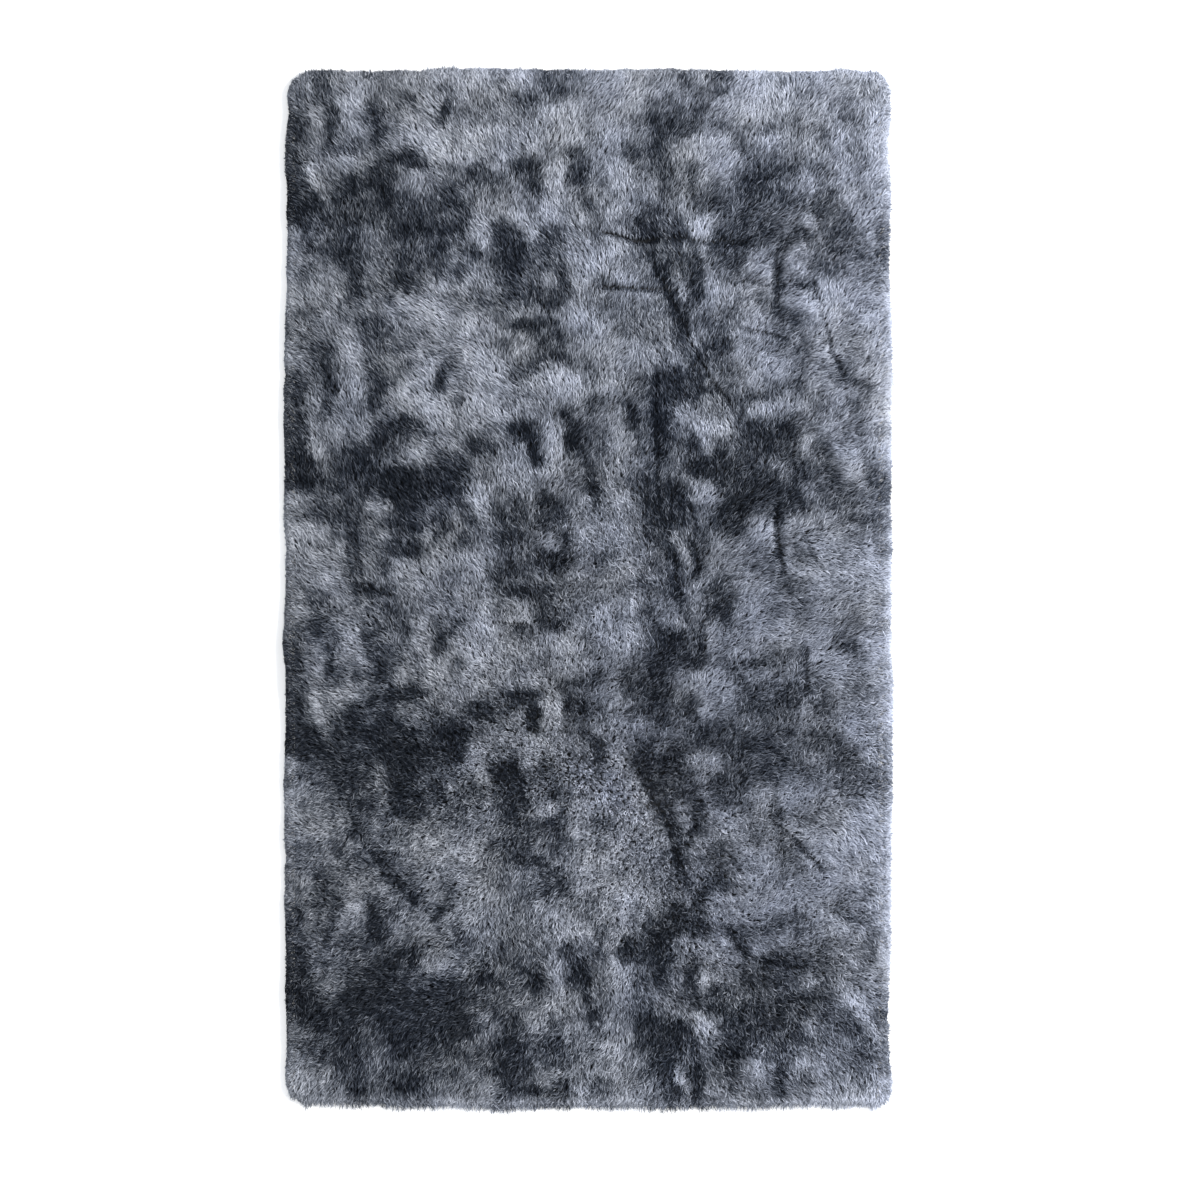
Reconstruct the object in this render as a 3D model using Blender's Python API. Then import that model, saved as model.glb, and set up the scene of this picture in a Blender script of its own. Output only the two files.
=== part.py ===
"""A shag rug lying flat, pile upwards: one lumpy slab with locks of pile at its rim.

X runs across the rug, Y along it and Z up. The origin is on the floor, under the middle.
"""

import math
import random

import bmesh
import bpy
from mathutils import Vector, geometry, noise

# Driving sizes, in metres.
RUG_WIDTH = 1.206
RUG_LENGTH = 2.106
PILE_HEIGHT = 0.030  # of the lying pile, midway between its lumps and its hollows

# How far the pile's side stands in from the rug's edge at each height, from the floor up.
SIDE_RINGS = [
    # name, height, inset
    ("floor", 0.0000, 0.0000),
    ("lock top", 0.0150, 0.0010),
    ("shoulder", 0.0230, 0.0090),
]
CROWN_INSET = 0.026  # where the side has become the top

# The four corners: each one is rounded to its own radius.
CORNERS = [
    # name, side in x, side in y, radius
    ("bottom right", 1, -1, 0.030),
    ("top right", 1, 1, 0.036),
    ("top left", -1, 1, 0.056),
    ("bottom left", -1, -1, 0.044),
]

# The edge isn't quite straight: it wanders in and out in shallow waves.
EDGE_WAVES = [
    # name, waves round the rug, swing, phase in turns
    ("bow", 3, 0.0022, 0.10),
    ("scallop", 13, 0.0018, 0.35),
    ("nibble", 41, 0.0012, 0.80),
]

# Locks at the rim: each grows from one face of the side and rests level on the floor.
LOCK_PITCH = 0.0252
LOCK_ROOT_SHARE = 0.60  # of the pitch; the rest is the gap to the next lock
LOCK_REACH = 0.0200  # of the longest locks, past the rug's edge
LOCK_SHORTEST = 0.40  # as a share of the longest
LOCK_SWAY = 0.0080  # how far a tip is combed sideways
LOCK_STRETCHES = [
    # name, share of the reach, share of the sway, width and height as shares of the root's
    ("knee", 0.50, 0.30, 0.70, 0.80),
    ("tip", 1.00, 1.00, 0.14, 0.18),
]

# Lumps in the pile: soft waves of several sizes on top of each other.
LUMPS = [
    # name, size across, height, shift
    ("billow", 0.330, 0.0036, (3.1, 7.7)),
    ("tuft", 0.120, 0.0058, (11.3, 1.9)),
    ("clump", 0.075, 0.0034, (5.2, 13.4)),
]
LATTICE_STEP = 0.0400  # from one point of the top to the next
LATTICE_JITTER = 0.26  # of the step

# Creases left by folding, each a soft trough along an arc. Places are from the rug's middle.
CREASES = [
    # name, start, end, bulge to the right of the way, half width, depth
    ("deep fold, upper", (0.140, 0.655), (0.196, 0.555), 0.006, 0.030, 0.0100),
    ("deep fold, lower", (0.196, 0.555), (0.242, 0.435), -0.008, 0.030, 0.0120),
    ("long fold, upper", (0.146, 0.385), (0.148, 0.160), 0.004, 0.028, 0.0090),
    ("long fold, middle", (0.180, 0.205), (0.186, 0.010), 0.010, 0.026, 0.0070),
    ("long fold, lower", (0.118, -0.400), (0.190, -0.560), -0.008, 0.028, 0.0080),
    ("cross fold, left", (0.030, 0.732), (0.150, 0.716), 0.006, 0.026, 0.0080),
    ("cross fold, right", (0.150, 0.716), (0.330, 0.706), 0.000, 0.024, 0.0055),
    ("cross fold, second", (0.300, 0.628), (0.470, 0.624), 0.000, 0.024, 0.0060),
    ("cross fold, third", (0.320, 0.516), (0.415, 0.510), 0.003, 0.024, 0.0060),
    ("slant, right", (0.465, 0.630), (0.524, 0.442), 0.008, 0.028, 0.0070),
    ("slant, middle", (-0.110, 0.612), (-0.045, 0.520), 0.004, 0.028, 0.0065),
    ("short fold, left", (-0.478, 0.005), (-0.386, 0.000), 0.002, 0.024, 0.0060),
    ("short fold, middle", (-0.196, -0.072), (-0.110, -0.078), 0.002, 0.024, 0.0060),
]

PILE_COLOUR = (0.105, 0.118, 0.150, 1.0)
PILE_ROUGHNESS = 0.90


def clear_scene():
    for old in list(bpy.data.objects):
        bpy.data.objects.remove(old, do_unlink=True)


def pile_material():
    """Dyed synthetic pile, a blue-grey that is dark and pale in patches."""
    material = bpy.data.materials.new("shag_pile")
    material.use_nodes = True
    shader = material.node_tree.nodes["Principled BSDF"]
    shader.inputs["Base Color"].default_value = PILE_COLOUR
    shader.inputs["Roughness"].default_value = PILE_ROUGHNESS
    shader.inputs["Metallic"].default_value = 0.0
    material.diffuse_color = PILE_COLOUR
    return material


def edge_length():
    """The way round the rug's edge, with its rounded corners."""
    straight = 2 * (RUG_WIDTH + RUG_LENGTH)
    return straight - sum((2 - math.pi / 2) * radius for *_, radius in CORNERS)


def edge_point(way):
    """The point and outward direction a share `way` of the way round, from the bottom right corner."""
    half = (RUG_WIDTH / 2, RUG_LENGTH / 2)
    left = way % 1.0 * edge_length()
    for index, (_, side_x, side_y, radius) in enumerate(CORNERS):
        _, next_x, next_y, next_radius = CORNERS[(index + 1) % len(CORNERS)]
        arc = radius * math.pi / 2
        start_angle = math.atan2(side_y, side_x) - math.pi / 4
        centre = Vector((side_x * (half[0] - radius), side_y * (half[1] - radius)))
        if left < arc:
            angle = start_angle + left / radius
            out = Vector((math.cos(angle), math.sin(angle)))
            return centre + radius * out, out
        left -= arc
        angle = start_angle + math.pi / 2
        out = Vector((math.cos(angle), math.sin(angle)))
        along = Vector((-out.y, out.x))
        reach = RUG_WIDTH if side_y == next_y else RUG_LENGTH
        run = reach - radius - next_radius
        if left < run:
            return centre + radius * out + left * along, out
        left -= run
    return edge_point(0.0)


def edge_wander(way):
    """How far the edge stands out or in here. It never stands out of the rug's own size."""
    swing = sum(size * math.sin(2 * math.pi * (waves * way + turn)) for _, waves, size, turn in EDGE_WAVES)
    return swing - sum(size for _, _, size, _ in EDGE_WAVES)


def crease_depth(place):
    """How deep the folds press the pile down at this place."""
    depth = 0.0
    for _, start, end, bulge, half_width, deepest in CREASES:
        start = Vector(start)
        run = Vector(end) - start
        across = Vector((run.y, -run.x)).normalized()
        along = (place - start).dot(run) / run.length_squared
        held = min(max(along, 0.0), 1.0)
        line = start + held * run + across * bulge * 4 * held * (1 - held)
        away = (place - line).length / half_width
        depth = max(depth, deepest * math.exp(-away * away))
    return depth


def lump_height(place):
    """How far the pile stands above or below its mean height at this place."""
    height = 0.0
    for _, size, swing, shift in LUMPS:
        spot = Vector((place.x / size + shift[0], place.y / size + shift[1], 0.0))
        height += swing * 2 * noise.noise(spot)
    return height


def top_height(place):
    return PILE_HEIGHT + lump_height(place) - crease_depth(place)


def edge_ways():
    """Shares of the way round, two for each lock: where its root starts and where it ends."""
    locks = round(edge_length() / LOCK_PITCH)
    draw = random.Random(41)
    ways = []
    for index in range(locks):
        share = LOCK_ROOT_SHARE * draw.uniform(0.82, 1.12)
        start = (index + draw.uniform(0.0, 0.14)) / locks
        ways += [start, start + share / locks]
    return ways


def ring_points(ways, height, inset, lumpy):
    """One ring round the rug at this height and inset. The lumps reach the upper rings."""
    points = []
    for way in ways:
        spot, out = edge_point(way)
        spot = spot + (edge_wander(way) - inset) * out
        lift = lump_height(spot) * lumpy
        points.append(Vector((spot.x, spot.y, height + lift)))
    return points


def inside(point, outline):
    """Whether a point lies inside a closed outline, by counting the sides that a ray crosses."""
    odd = False
    for before, after in zip(outline, outline[1:] + outline[:1]):
        if (before.y > point.y) != (after.y > point.y):
            share = (point.y - before.y) / (after.y - before.y)
            odd ^= point.x < before.x + share * (after.x - before.x)
    return odd


def top_lattice(limit):
    """Points spread over the top in staggered rows, a little out of line, inside the limit."""
    draw = random.Random(7)
    rows = math.ceil(RUG_LENGTH / (LATTICE_STEP * math.sqrt(0.75)))
    columns = math.ceil(RUG_WIDTH / LATTICE_STEP)
    points = []
    for row in range(rows + 1):
        for column in range(columns + 1):
            spot = Vector((
                (column - columns / 2 + 0.5 * (row % 2) + draw.uniform(-1, 1) * LATTICE_JITTER) * LATTICE_STEP,
                (row - rows / 2) * LATTICE_STEP * math.sqrt(0.75) + draw.uniform(-1, 1) * LATTICE_JITTER * LATTICE_STEP,
            ))
            if inside(spot, limit):
                points.append(spot)
    return points


def skin_sides(shell, rings):
    """Faces between each ring and the next one up. It gives back those of the lowest band."""
    lowest = []
    for below, above in zip(rings, rings[1:]):
        for index in range(len(below)):
            after = (index + 1) % len(below)
            face = shell.faces.new((below[index], below[after], above[after], above[index]))
            if below is rings[0]:
                lowest.append(face)
    return lowest


def skin_top(shell, crown):
    """Triangles over the crown ring and the lattice inside it."""
    limit = [vert.co.to_2d() for vert in crown]
    middle = sum(limit, Vector((0.0, 0.0))) / len(limit)
    shrunk = [spot + (middle - spot).normalized() * LATTICE_STEP * 0.62 for spot in limit]
    inner = top_lattice(shrunk)
    spots = limit + inner
    sides = [(index, (index + 1) % len(limit)) for index in range(len(limit))]
    found, _, triangles, kept, _, _ = geometry.delaunay_2d_cdt(spots, sides, [], 1, 1e-7)
    verts = []
    for spot, sources in zip(found, kept):
        if sources and sources[0] < len(crown):
            verts.append(crown[sources[0]])
        else:
            verts.append(shell.verts.new((spot.x, spot.y, top_height(spot))))
    for triangle in triangles:
        shell.faces.new([verts[index] for index in triangle])


def grow_lock(shell, root, draw):
    """One four-sided lock: a face of the side, extruded in stretches that narrow to a tip on the floor."""
    centre = root.calc_center_median()
    centre.z = 0.0
    out = Vector((root.normal.x, root.normal.y, 0.0)).normalized()
    along = Vector((-out.y, out.x, 0.0))
    reach = LOCK_REACH * draw.uniform(LOCK_SHORTEST, 1.0)
    sway = LOCK_SWAY * draw.uniform(-1.0, 1.0)
    corners = [((vert.co - centre).dot(along), vert.co.z) for vert in root.verts]
    end = root
    for _, reach_share, sway_share, width, height in LOCK_STRETCHES:
        end = bmesh.ops.extrude_discrete_faces(shell, faces=[end])["faces"][0]
        middle = centre + out * reach * reach_share + along * sway * sway_share
        for vert, (side, up) in zip(end.verts, corners):
            vert.co = middle + along * side * width + Vector((0.0, 0.0, up * height))


def build_rug():
    shell = bmesh.new()
    ways = edge_ways()
    rings = []
    for index, (_, height, inset) in enumerate(SIDE_RINGS):
        lumpy = 0.5 if index == len(SIDE_RINGS) - 1 else 0.0
        rings.append([shell.verts.new(spot) for spot in ring_points(ways, height, inset, lumpy)])
    crown_ways = ways[::2]
    crown = []
    for spot in ring_points(crown_ways, 0.0, CROWN_INSET, 0.0):
        crown.append(shell.verts.new((spot.x, spot.y, top_height(spot.to_2d()))))
    lowest = skin_sides(shell, rings)
    shoulder = rings[-1]
    for index in range(len(crown)):
        after = (index + 1) % len(crown)
        start, end = shoulder[2 * index], shoulder[2 * index + 1]
        shell.faces.new((start, end, crown[index]))
        shell.faces.new((end, shoulder[(2 * index + 2) % len(shoulder)], crown[after], crown[index]))
    skin_top(shell, crown)
    shell.faces.new(list(reversed(rings[0])))
    shell.normal_update()
    draw = random.Random(23)
    for face in lowest[::2]:
        grow_lock(shell, face, draw)
    bmesh.ops.triangulate(shell, faces=shell.faces[:])
    mesh = bpy.data.meshes.new("shag_pile")
    shell.to_mesh(mesh)
    shell.free()
    mesh.materials.append(pile_material())
    rug = bpy.data.objects.new("shag_pile", mesh)
    bpy.context.scene.collection.objects.link(rug)
    return rug


def main():
    clear_scene()
    rug = build_rug()
    size = rug.dimensions
    print(f"{rug.name}: {len(rug.data.polygons)} triangles, {size.x:.4f} x {size.y:.4f} x {size.z:.4f} m")


main()
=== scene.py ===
# %% [markdown]
# # A shag rug, lying flat with its pile upwards
#
# A shag rug is a thin base cloth with long, soft pile sewn into it. The pile falls over in locks, and
# the locks lie in lumps and hollows, with creases where the rug was folded to be stored. This script
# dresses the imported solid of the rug: it lays out the base cloth, plants the pile in it lock by lock,
# and dyes it in the pale and dark patches that come back almost four times down the length.
#
# X runs across the rug, Y along it and Z up. All sizes are in metres.

# %% The frame and the tools
import math

import bpy
import numpy as np
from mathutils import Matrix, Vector
from mathutils.bvhtree import BVHTree


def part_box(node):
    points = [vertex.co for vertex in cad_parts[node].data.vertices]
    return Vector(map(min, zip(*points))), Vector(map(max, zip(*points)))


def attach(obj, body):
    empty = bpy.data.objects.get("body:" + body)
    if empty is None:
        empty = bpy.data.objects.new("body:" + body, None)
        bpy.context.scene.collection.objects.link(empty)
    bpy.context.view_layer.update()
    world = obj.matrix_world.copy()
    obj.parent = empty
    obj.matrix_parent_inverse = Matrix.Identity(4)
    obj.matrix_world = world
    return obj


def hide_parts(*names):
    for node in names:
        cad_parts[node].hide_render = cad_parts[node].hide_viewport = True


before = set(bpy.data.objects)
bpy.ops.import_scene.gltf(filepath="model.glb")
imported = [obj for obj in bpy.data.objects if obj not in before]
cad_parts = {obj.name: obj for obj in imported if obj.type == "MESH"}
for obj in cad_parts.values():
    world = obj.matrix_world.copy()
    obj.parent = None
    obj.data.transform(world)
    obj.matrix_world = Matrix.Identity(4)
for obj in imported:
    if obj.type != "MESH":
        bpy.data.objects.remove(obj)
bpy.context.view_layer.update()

MM = 0.001
CM = 0.01
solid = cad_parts["shag_pile"]
low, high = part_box("shag_pile")
print("the solid:", [round(side, 4) for side in high - low])

# %% [markdown]
# ## Camera, light and floor
#
# The rug is seen from straight above, from far enough that its sides don't show. A lens of 100 mm does
# that. The rug is a little left of the middle of the picture and a little above it, so the camera looks
# at a point just right of and below the rug's middle. The studio is plain: a pale floor that goes out to
# white, light from all round, and one broad lamp high on the right, which makes the pile's right flanks
# pale and leaves its left edge dark.

# %% The camera
PICTURE_WIDE = 2.4624  # of floor that the picture takes in
AIM = Vector((0.0267, -0.0195, 0.0))
LENS = 100.0
SENSOR = 36.0

camera = bpy.data.objects.new("camera", bpy.data.cameras.new("camera"))
camera.data.lens = LENS
camera.data.sensor_width = SENSOR
camera.location = AIM + Vector((0.0, 0.0, PICTURE_WIDE * LENS / SENSOR))
camera.data.clip_end = 50.0
bpy.context.scene.collection.objects.link(camera)
bpy.context.scene.camera = camera
print("the camera stands", round(camera.location.z, 2), "m above the rug")

# %% The lights and the floor
FLOOR_SIZE = 30.0
FLOOR_DROP = 0.0006  # so that the cloth's underside doesn't flicker in it
SKY_COLOUR = (0.93, 0.96, 1.0, 1.0)
SKY_STRENGTH = 0.735
LAMP = {
    "place": (3.2, 1.0, 3.2),
    "aim": (0.1, 0.0, 0.0),
    "size": 2.2,
    "power": 400.0,
    "colour": (1.0, 0.985, 0.96),
}
FLOOR_COLOUR = (0.95, 0.95, 0.95, 1.0)
FLOOR_ROUGHNESS = 0.9
FLOOR_GLOW = 0.35  # so that the floor goes out to white

def lamp(name, place, aim, size, power, colour):
    """A round lamp that stands at one place and aims at another."""
    light = bpy.data.lights.new(name, "AREA")
    light.shape = "DISK"
    light.size = size
    light.energy = power
    light.color = colour
    stand = bpy.data.objects.new(name, light)
    stand.location = place
    stand.rotation_euler = (Vector(aim) - Vector(place)).to_track_quat("-Z", "Y").to_euler()
    bpy.context.scene.collection.objects.link(stand)

lamp("broad lamp", **LAMP)
sky = bpy.data.worlds.new("studio")
sky.use_nodes = True
sky.node_tree.nodes["Background"].inputs["Color"].default_value = SKY_COLOUR
sky.node_tree.nodes["Background"].inputs["Strength"].default_value = SKY_STRENGTH
bpy.context.scene.world = sky
bpy.context.scene.view_settings.view_transform = "Standard"

bpy.ops.object.select_all(action="DESELECT")
bpy.ops.mesh.primitive_plane_add(size=FLOOR_SIZE, location=(0.0, 0.0, -FLOOR_DROP))
floor = bpy.context.object
floor.name = "floor"
paint = bpy.data.materials.new("pale floor")
paint.use_nodes = True
coat = paint.node_tree.nodes["Principled BSDF"]
coat.inputs["Base Color"].default_value = FLOOR_COLOUR
coat.inputs["Roughness"].default_value = FLOOR_ROUGHNESS
coat.inputs["Emission Color"].default_value = (1.0, 1.0, 1.0, 1.0)
coat.inputs["Emission Strength"].default_value = FLOOR_GLOW
floor.data.materials.append(paint)
print("the floor is", FLOOR_SIZE, "m across")

# %% [markdown]
# ## Shader maths as Python
#
# A material is a graph of nodes. A small class that wraps a node's output and overloads the arithmetic
# signs lets a mask be written as a sum, and each sign adds its Math node. Colours don't go through
# Math nodes, which would turn them grey: they go through Mix nodes.

# %% A value in a material
class Value:
    """One output of a material's node. Arithmetic on it adds Math nodes."""

    def __init__(self, tree, out):
        self.tree = tree
        self.out = out

    def join(self, operation, *ends):
        node = self.tree.nodes.new("ShaderNodeMath")
        node.operation = operation
        for socket, end in zip(node.inputs, ends):
            feed(self.tree, socket, end)
        return Value(self.tree, node.outputs[0])

    def __add__(self, other):
        return self.join("ADD", self, other)

    def __radd__(self, other):
        return self.join("ADD", other, self)

    def __sub__(self, other):
        return self.join("SUBTRACT", self, other)

    def __rsub__(self, other):
        return self.join("SUBTRACT", other, self)

    def __mul__(self, other):
        return self.join("MULTIPLY", self, other)

    def __rmul__(self, other):
        return self.join("MULTIPLY", other, self)

def feed(tree, socket, end):
    """Links a Value to a socket, or sets a plain number or colour on it."""
    if isinstance(end, Value):
        tree.links.new(end.out, socket)
    else:
        socket.default_value = end

# %% A finish: one material and its nodes
class Finish:
    """A material with one Principled shader, and a short way to add nodes to it."""

    def __init__(self, name, roughness):
        self.material = bpy.data.materials.new(name)
        self.material.use_nodes = True
        self.tree = self.material.node_tree
        self.shader = self.tree.nodes["Principled BSDF"]
        self.shader.inputs["Roughness"].default_value = roughness

    def node(self, kind, settings=(), inputs=(), out=0):
        """A node of this kind: its settings first, then the numbers, colours or Values of its sockets."""
        node = self.tree.nodes.new(kind)
        for name, value in dict(settings).items():
            setattr(node, name, value)
        for name, end in dict(inputs).items():
            feed(self.tree, node.inputs[name], end)
        return Value(self.tree, node.outputs[out])

    def ramp(self, factor, stops):
        """A colour that follows the factor through these (place, colour) stops."""
        value = self.node("ShaderNodeValToRGB", inputs={"Fac": factor})
        band = value.out.node.color_ramp
        while len(band.elements) < len(stops):
            band.elements.new(1.0)
        for element, (place, colour) in zip(band.elements, stops):
            element.position = place
            element.color = (*colour, 1.0)
        return value

    def mix(self, factor, first, second, blend="MIX"):
        """Two colours mixed."""
        node = self.tree.nodes.new("ShaderNodeMix")
        node.data_type = "RGBA"
        node.blend_type = blend
        feed(self.tree, node.inputs[0], factor)
        feed(self.tree, node.inputs[6], first)
        feed(self.tree, node.inputs[7], second)
        return Value(self.tree, node.outputs[2])

    def set(self, name, end):
        feed(self.tree, self.shader.inputs[name], end)

# %% [markdown]
# ## The base cloth
#
# Under the pile is a plain woven cloth, cut with rounded corners a little inside the pile's edge. It is
# only seen from below and between the locks at the very rim. It is a flat sheet, so it starts as a plane
# at its cut size: its corners are bevelled round, and Solidify gives it its thickness.

# %% The base cloth's shape
CLOTH_INSET = 0.020  # from the outermost locks to the cloth's edge
CLOTH_THICK = 0.0014
CLOTH_CORNER = 0.040
CLOTH_SIZE = (high.x - low.x - 2 * CLOTH_INSET, high.y - low.y - 2 * CLOTH_INSET)
CLOTH_MIDDLE = ((high.x + low.x) / 2, (high.y + low.y) / 2)

bpy.ops.object.select_all(action="DESELECT")
bpy.ops.mesh.primitive_plane_add(size=1.0, location=(*CLOTH_MIDDLE, 0.0))
cloth = bpy.context.object
cloth.name = "base_cloth"
cloth.scale = (*CLOTH_SIZE, 1.0)
bpy.ops.object.transform_apply(location=True, rotation=True, scale=True)
bpy.ops.object.mode_set(mode="EDIT")
bpy.ops.mesh.select_all(action="SELECT")
bpy.ops.mesh.bevel(offset=CLOTH_CORNER, segments=8, affect="VERTICES")
bpy.ops.object.mode_set(mode="OBJECT")
thick = cloth.modifiers.new("thickness", "SOLIDIFY")
thick.thickness = CLOTH_THICK
thick.offset = 1.0
bpy.ops.object.modifier_apply(modifier=thick.name)
print("the base cloth:", [round(side, 4) for side in cloth.dimensions])

# %% The base cloth's weave
THREAD = 0.0021  # from one thread to the next
THREAD_COLOURS = [(0.0, (0.020, 0.021, 0.024)), (1.0, (0.055, 0.057, 0.062))]
THREAD_RELIEF = {"Strength": 0.5, "Distance": 0.0004}
weave = Finish("woven base cloth", 0.95)
place = weave.node("ShaderNodeTexCoord", out=3)
across = weave.node("ShaderNodeSeparateXYZ", inputs={"Vector": place}, out=0)
down = Value(weave.tree, across.out.node.outputs[1])
turns = 2 * math.pi / THREAD / 2
rib = (across * turns).join("SINE", across * turns) * (down * turns).join("SINE", down * turns)
threads = rib * 0.5 + 0.5
weave.set("Base Color", weave.ramp(threads, THREAD_COLOURS))
weave.set("Normal", weave.node("ShaderNodeBump", inputs={**THREAD_RELIEF, "Height": threads}))
cloth.data.materials.append(weave.material)
print("the weave has a thread each", round(THREAD / MM, 1), "mm")

# %% [markdown]
# ## Uneven things
#
# Nothing in long pile is even. Most of what varies over the rug varies smoothly, so one helper gives a
# smooth drift: random numbers on a coarse lattice, with the values between them blended.

# %% A smooth drift over the rug
LAST_CELL = 1.001  # keeps a place just inside the last cell of its grid
DRIFT_MARGIN = 0.2  # of lattice all round the rug

def between(grid, x, y):
    """Values of a grid at places given in its own rows and columns, smooth from point to point."""
    x = np.clip(x, 0, grid.shape[1] - LAST_CELL)
    y = np.clip(y, 0, grid.shape[0] - LAST_CELL)
    left, below = x.astype(int), y.astype(int)
    fx, fy = x - left, y - below
    fx, fy = fx * fx * (3 - 2 * fx), fy * fy * (3 - 2 * fy)
    lower = grid[below, left] * (1 - fx) + grid[below, left + 1] * fx
    upper = grid[below + 1, left] * (1 - fx) + grid[below + 1, left + 1] * fx
    return lower * (1 - fy) + upper * fy

def drift(x, y, size, seed, stretch=1.0):
    """From -1 to 1, changing smoothly over stretches of this size, and this many times shorter up Y."""
    draw = np.random.default_rng(seed)
    columns = int((high.x - low.x + 2 * DRIFT_MARGIN) / size) + 3
    rows = int((high.y - low.y + 2 * DRIFT_MARGIN) / size * stretch) + 3
    grid = draw.uniform(-1.0, 1.0, (rows, columns))
    return between(grid, (x - low.x + DRIFT_MARGIN) / size, (y - low.y + DRIFT_MARGIN) / size * stretch)

# %% [markdown]
# ## The rug's edge
#
# The base cloth is cut with rounded corners, and the pile at its rim falls over the cut edge down to the
# floor. On the left it hugs the edge. At the top it stands out in a short frizz, at the bottom in ragged
# locks, and on the right in loose wisps. So a lock may reach past the outline only as far as its side
# lets it. The tips at the bottom are painted a little paler: painted light, for the floor's light through
# them.

# %% The outline and how far the pile stands past it
OUTLINE = {"left": -0.6175, "right": 0.6210, "bottom": -1.0515, "top": 1.0640}
CORNER_RADII = {(1, -1): 0.030, (1, 1): 0.034, (-1, 1): 0.058, (-1, -1): 0.046}
LIPS = {"left": 0.0016, "right": 0.0080, "bottom": 0.0190, "top": 0.0064}
LEAST_LIP = 0.1  # of its side's lip, which every lock may reach
DRAWN_BACK = 0.92  # the share of what is past the lip that is taken back
# painted light: how much paler the tips are painted on each side, for the floor's light through them
PAINTED_TIP_LIGHT = {"left": 0.05, "right": 0.00, "bottom": 0.22, "top": 0.00}
PAINTED_LIGHT_BAND = 0.010  # how far in from the outline the paler tips begin
MICRON = 0.000001
MIDDLE = ((OUTLINE["left"] + OUTLINE["right"]) / 2, (OUTLINE["bottom"] + OUTLINE["top"]) / 2)
HALF = ((OUTLINE["right"] - OUTLINE["left"]) / 2, (OUTLINE["top"] - OUTLINE["bottom"]) / 2)
EDGE_BOW = 0.0062  # how far each side stands out at its middle
EDGE_WAVES = [
    # how far the edge wanders, over what stretches, seed
    (0.0026, 0.340, 23),
    (0.0036, 0.090, 21),
    (0.0022, 0.030, 22),
]
RAGGED = [
    # how unevenly the locks reach past the edge, over what stretches, seed
    (0.70, 0.011, 26),
    (0.60, 0.028, 27),
]

def past_edge(x, y):
    """How far each place is past the outline (less than zero inside), and the way straight out."""
    side_x, side_y = np.where(x > MIDDLE[0], 1, -1), np.where(y > MIDDLE[1], 1, -1)
    radius = np.zeros(x.shape)
    for (corner_x, corner_y), size in CORNER_RADII.items():
        radius = np.where((side_x == corner_x) & (side_y == corner_y), size, radius)
    over_x = np.abs(x - MIDDLE[0]) - HALF[0] + radius
    over_y = np.abs(y - MIDDLE[1]) - HALF[1] + radius
    round_x, round_y = np.maximum(over_x, MICRON), np.maximum(over_y, MICRON)
    corner = (over_x > 0) & (over_y > 0)
    past = np.where(corner, np.hypot(round_x, round_y), np.maximum(over_x, over_y)) - radius
    out_x = np.where(corner, round_x / np.hypot(round_x, round_y), over_x > over_y) * side_x
    out_y = np.where(corner, round_y / np.hypot(round_x, round_y), over_x <= over_y) * side_y
    along = (out_x * (y - MIDDLE[1]) / HALF[1]) ** 2 + (out_y * (x - MIDDLE[0]) / HALF[0]) ** 2
    wave = sum(reach * drift(x, y, size, seed) for reach, size, seed in EDGE_WAVES)
    return past + wave + EDGE_BOW * (along - 1 / 3), out_x, out_y

def lip(out_x, out_y):
    """How far the pile stands past the outline on the side that faces this way."""
    sideways = np.where(out_x > 0, LIPS["right"], LIPS["left"]) * out_x**2
    return sideways + np.where(out_y > 0, LIPS["top"], LIPS["bottom"]) * out_y**2

def painted_tip_light_at(x, y):
    """How much paler the pile's tips are painted at the rim: painted light, for the light from the floor
    that comes through them.
    """
    past, out_x, out_y = past_edge(x, y)
    sideways = np.where(out_x > 0, PAINTED_TIP_LIGHT["right"], PAINTED_TIP_LIGHT["left"]) * out_x**2
    share = sideways + np.where(out_y > 0, PAINTED_TIP_LIGHT["top"], PAINTED_TIP_LIGHT["bottom"]) * out_y**2
    return share * np.clip(1.0 + past / PAINTED_LIGHT_BAND, 0.0, 1.0)

def held_in(x, y, slack):
    """Places past the lip are drawn back to it. Slack is the share of the lip that a lock may use."""
    past, out_x, out_y = past_edge(x, y)
    ragged = sum(share * drift(x, y, size, seed) for share, size, seed in RAGGED)
    reach = slack * lip(out_x, out_y) * np.maximum(1.0 + ragged, LEAST_LIP)
    over = np.maximum(past - reach, 0.0) * DRAWN_BACK
    return x - out_x * over, y - out_y * over

# %% [markdown]
# ## How high the pile stands
#
# The solid already holds the rug's lumps, hollows and creases. Rays dropped on it from above, on a
# lattice of points, give a map of its height, and the locks' tips follow that map. Near the outline
# the rays are dropped a little further in, and the rounding of the rim is put in by a small table.

# %% The height of the pile, read from the solid
MAP_STEP = 0.010
MAP_MARGIN = 0.040
MAP_INSET = 0.036  # from the outline to the outermost rays
RIM_ROUNDING = [
    # past the outline, share of the pile's height
    (-0.022, 1.00),
    (-0.010, 0.94),
    (-0.003, 0.76),
    (0.000, 0.60),
    (0.006, 0.25),
]

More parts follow.
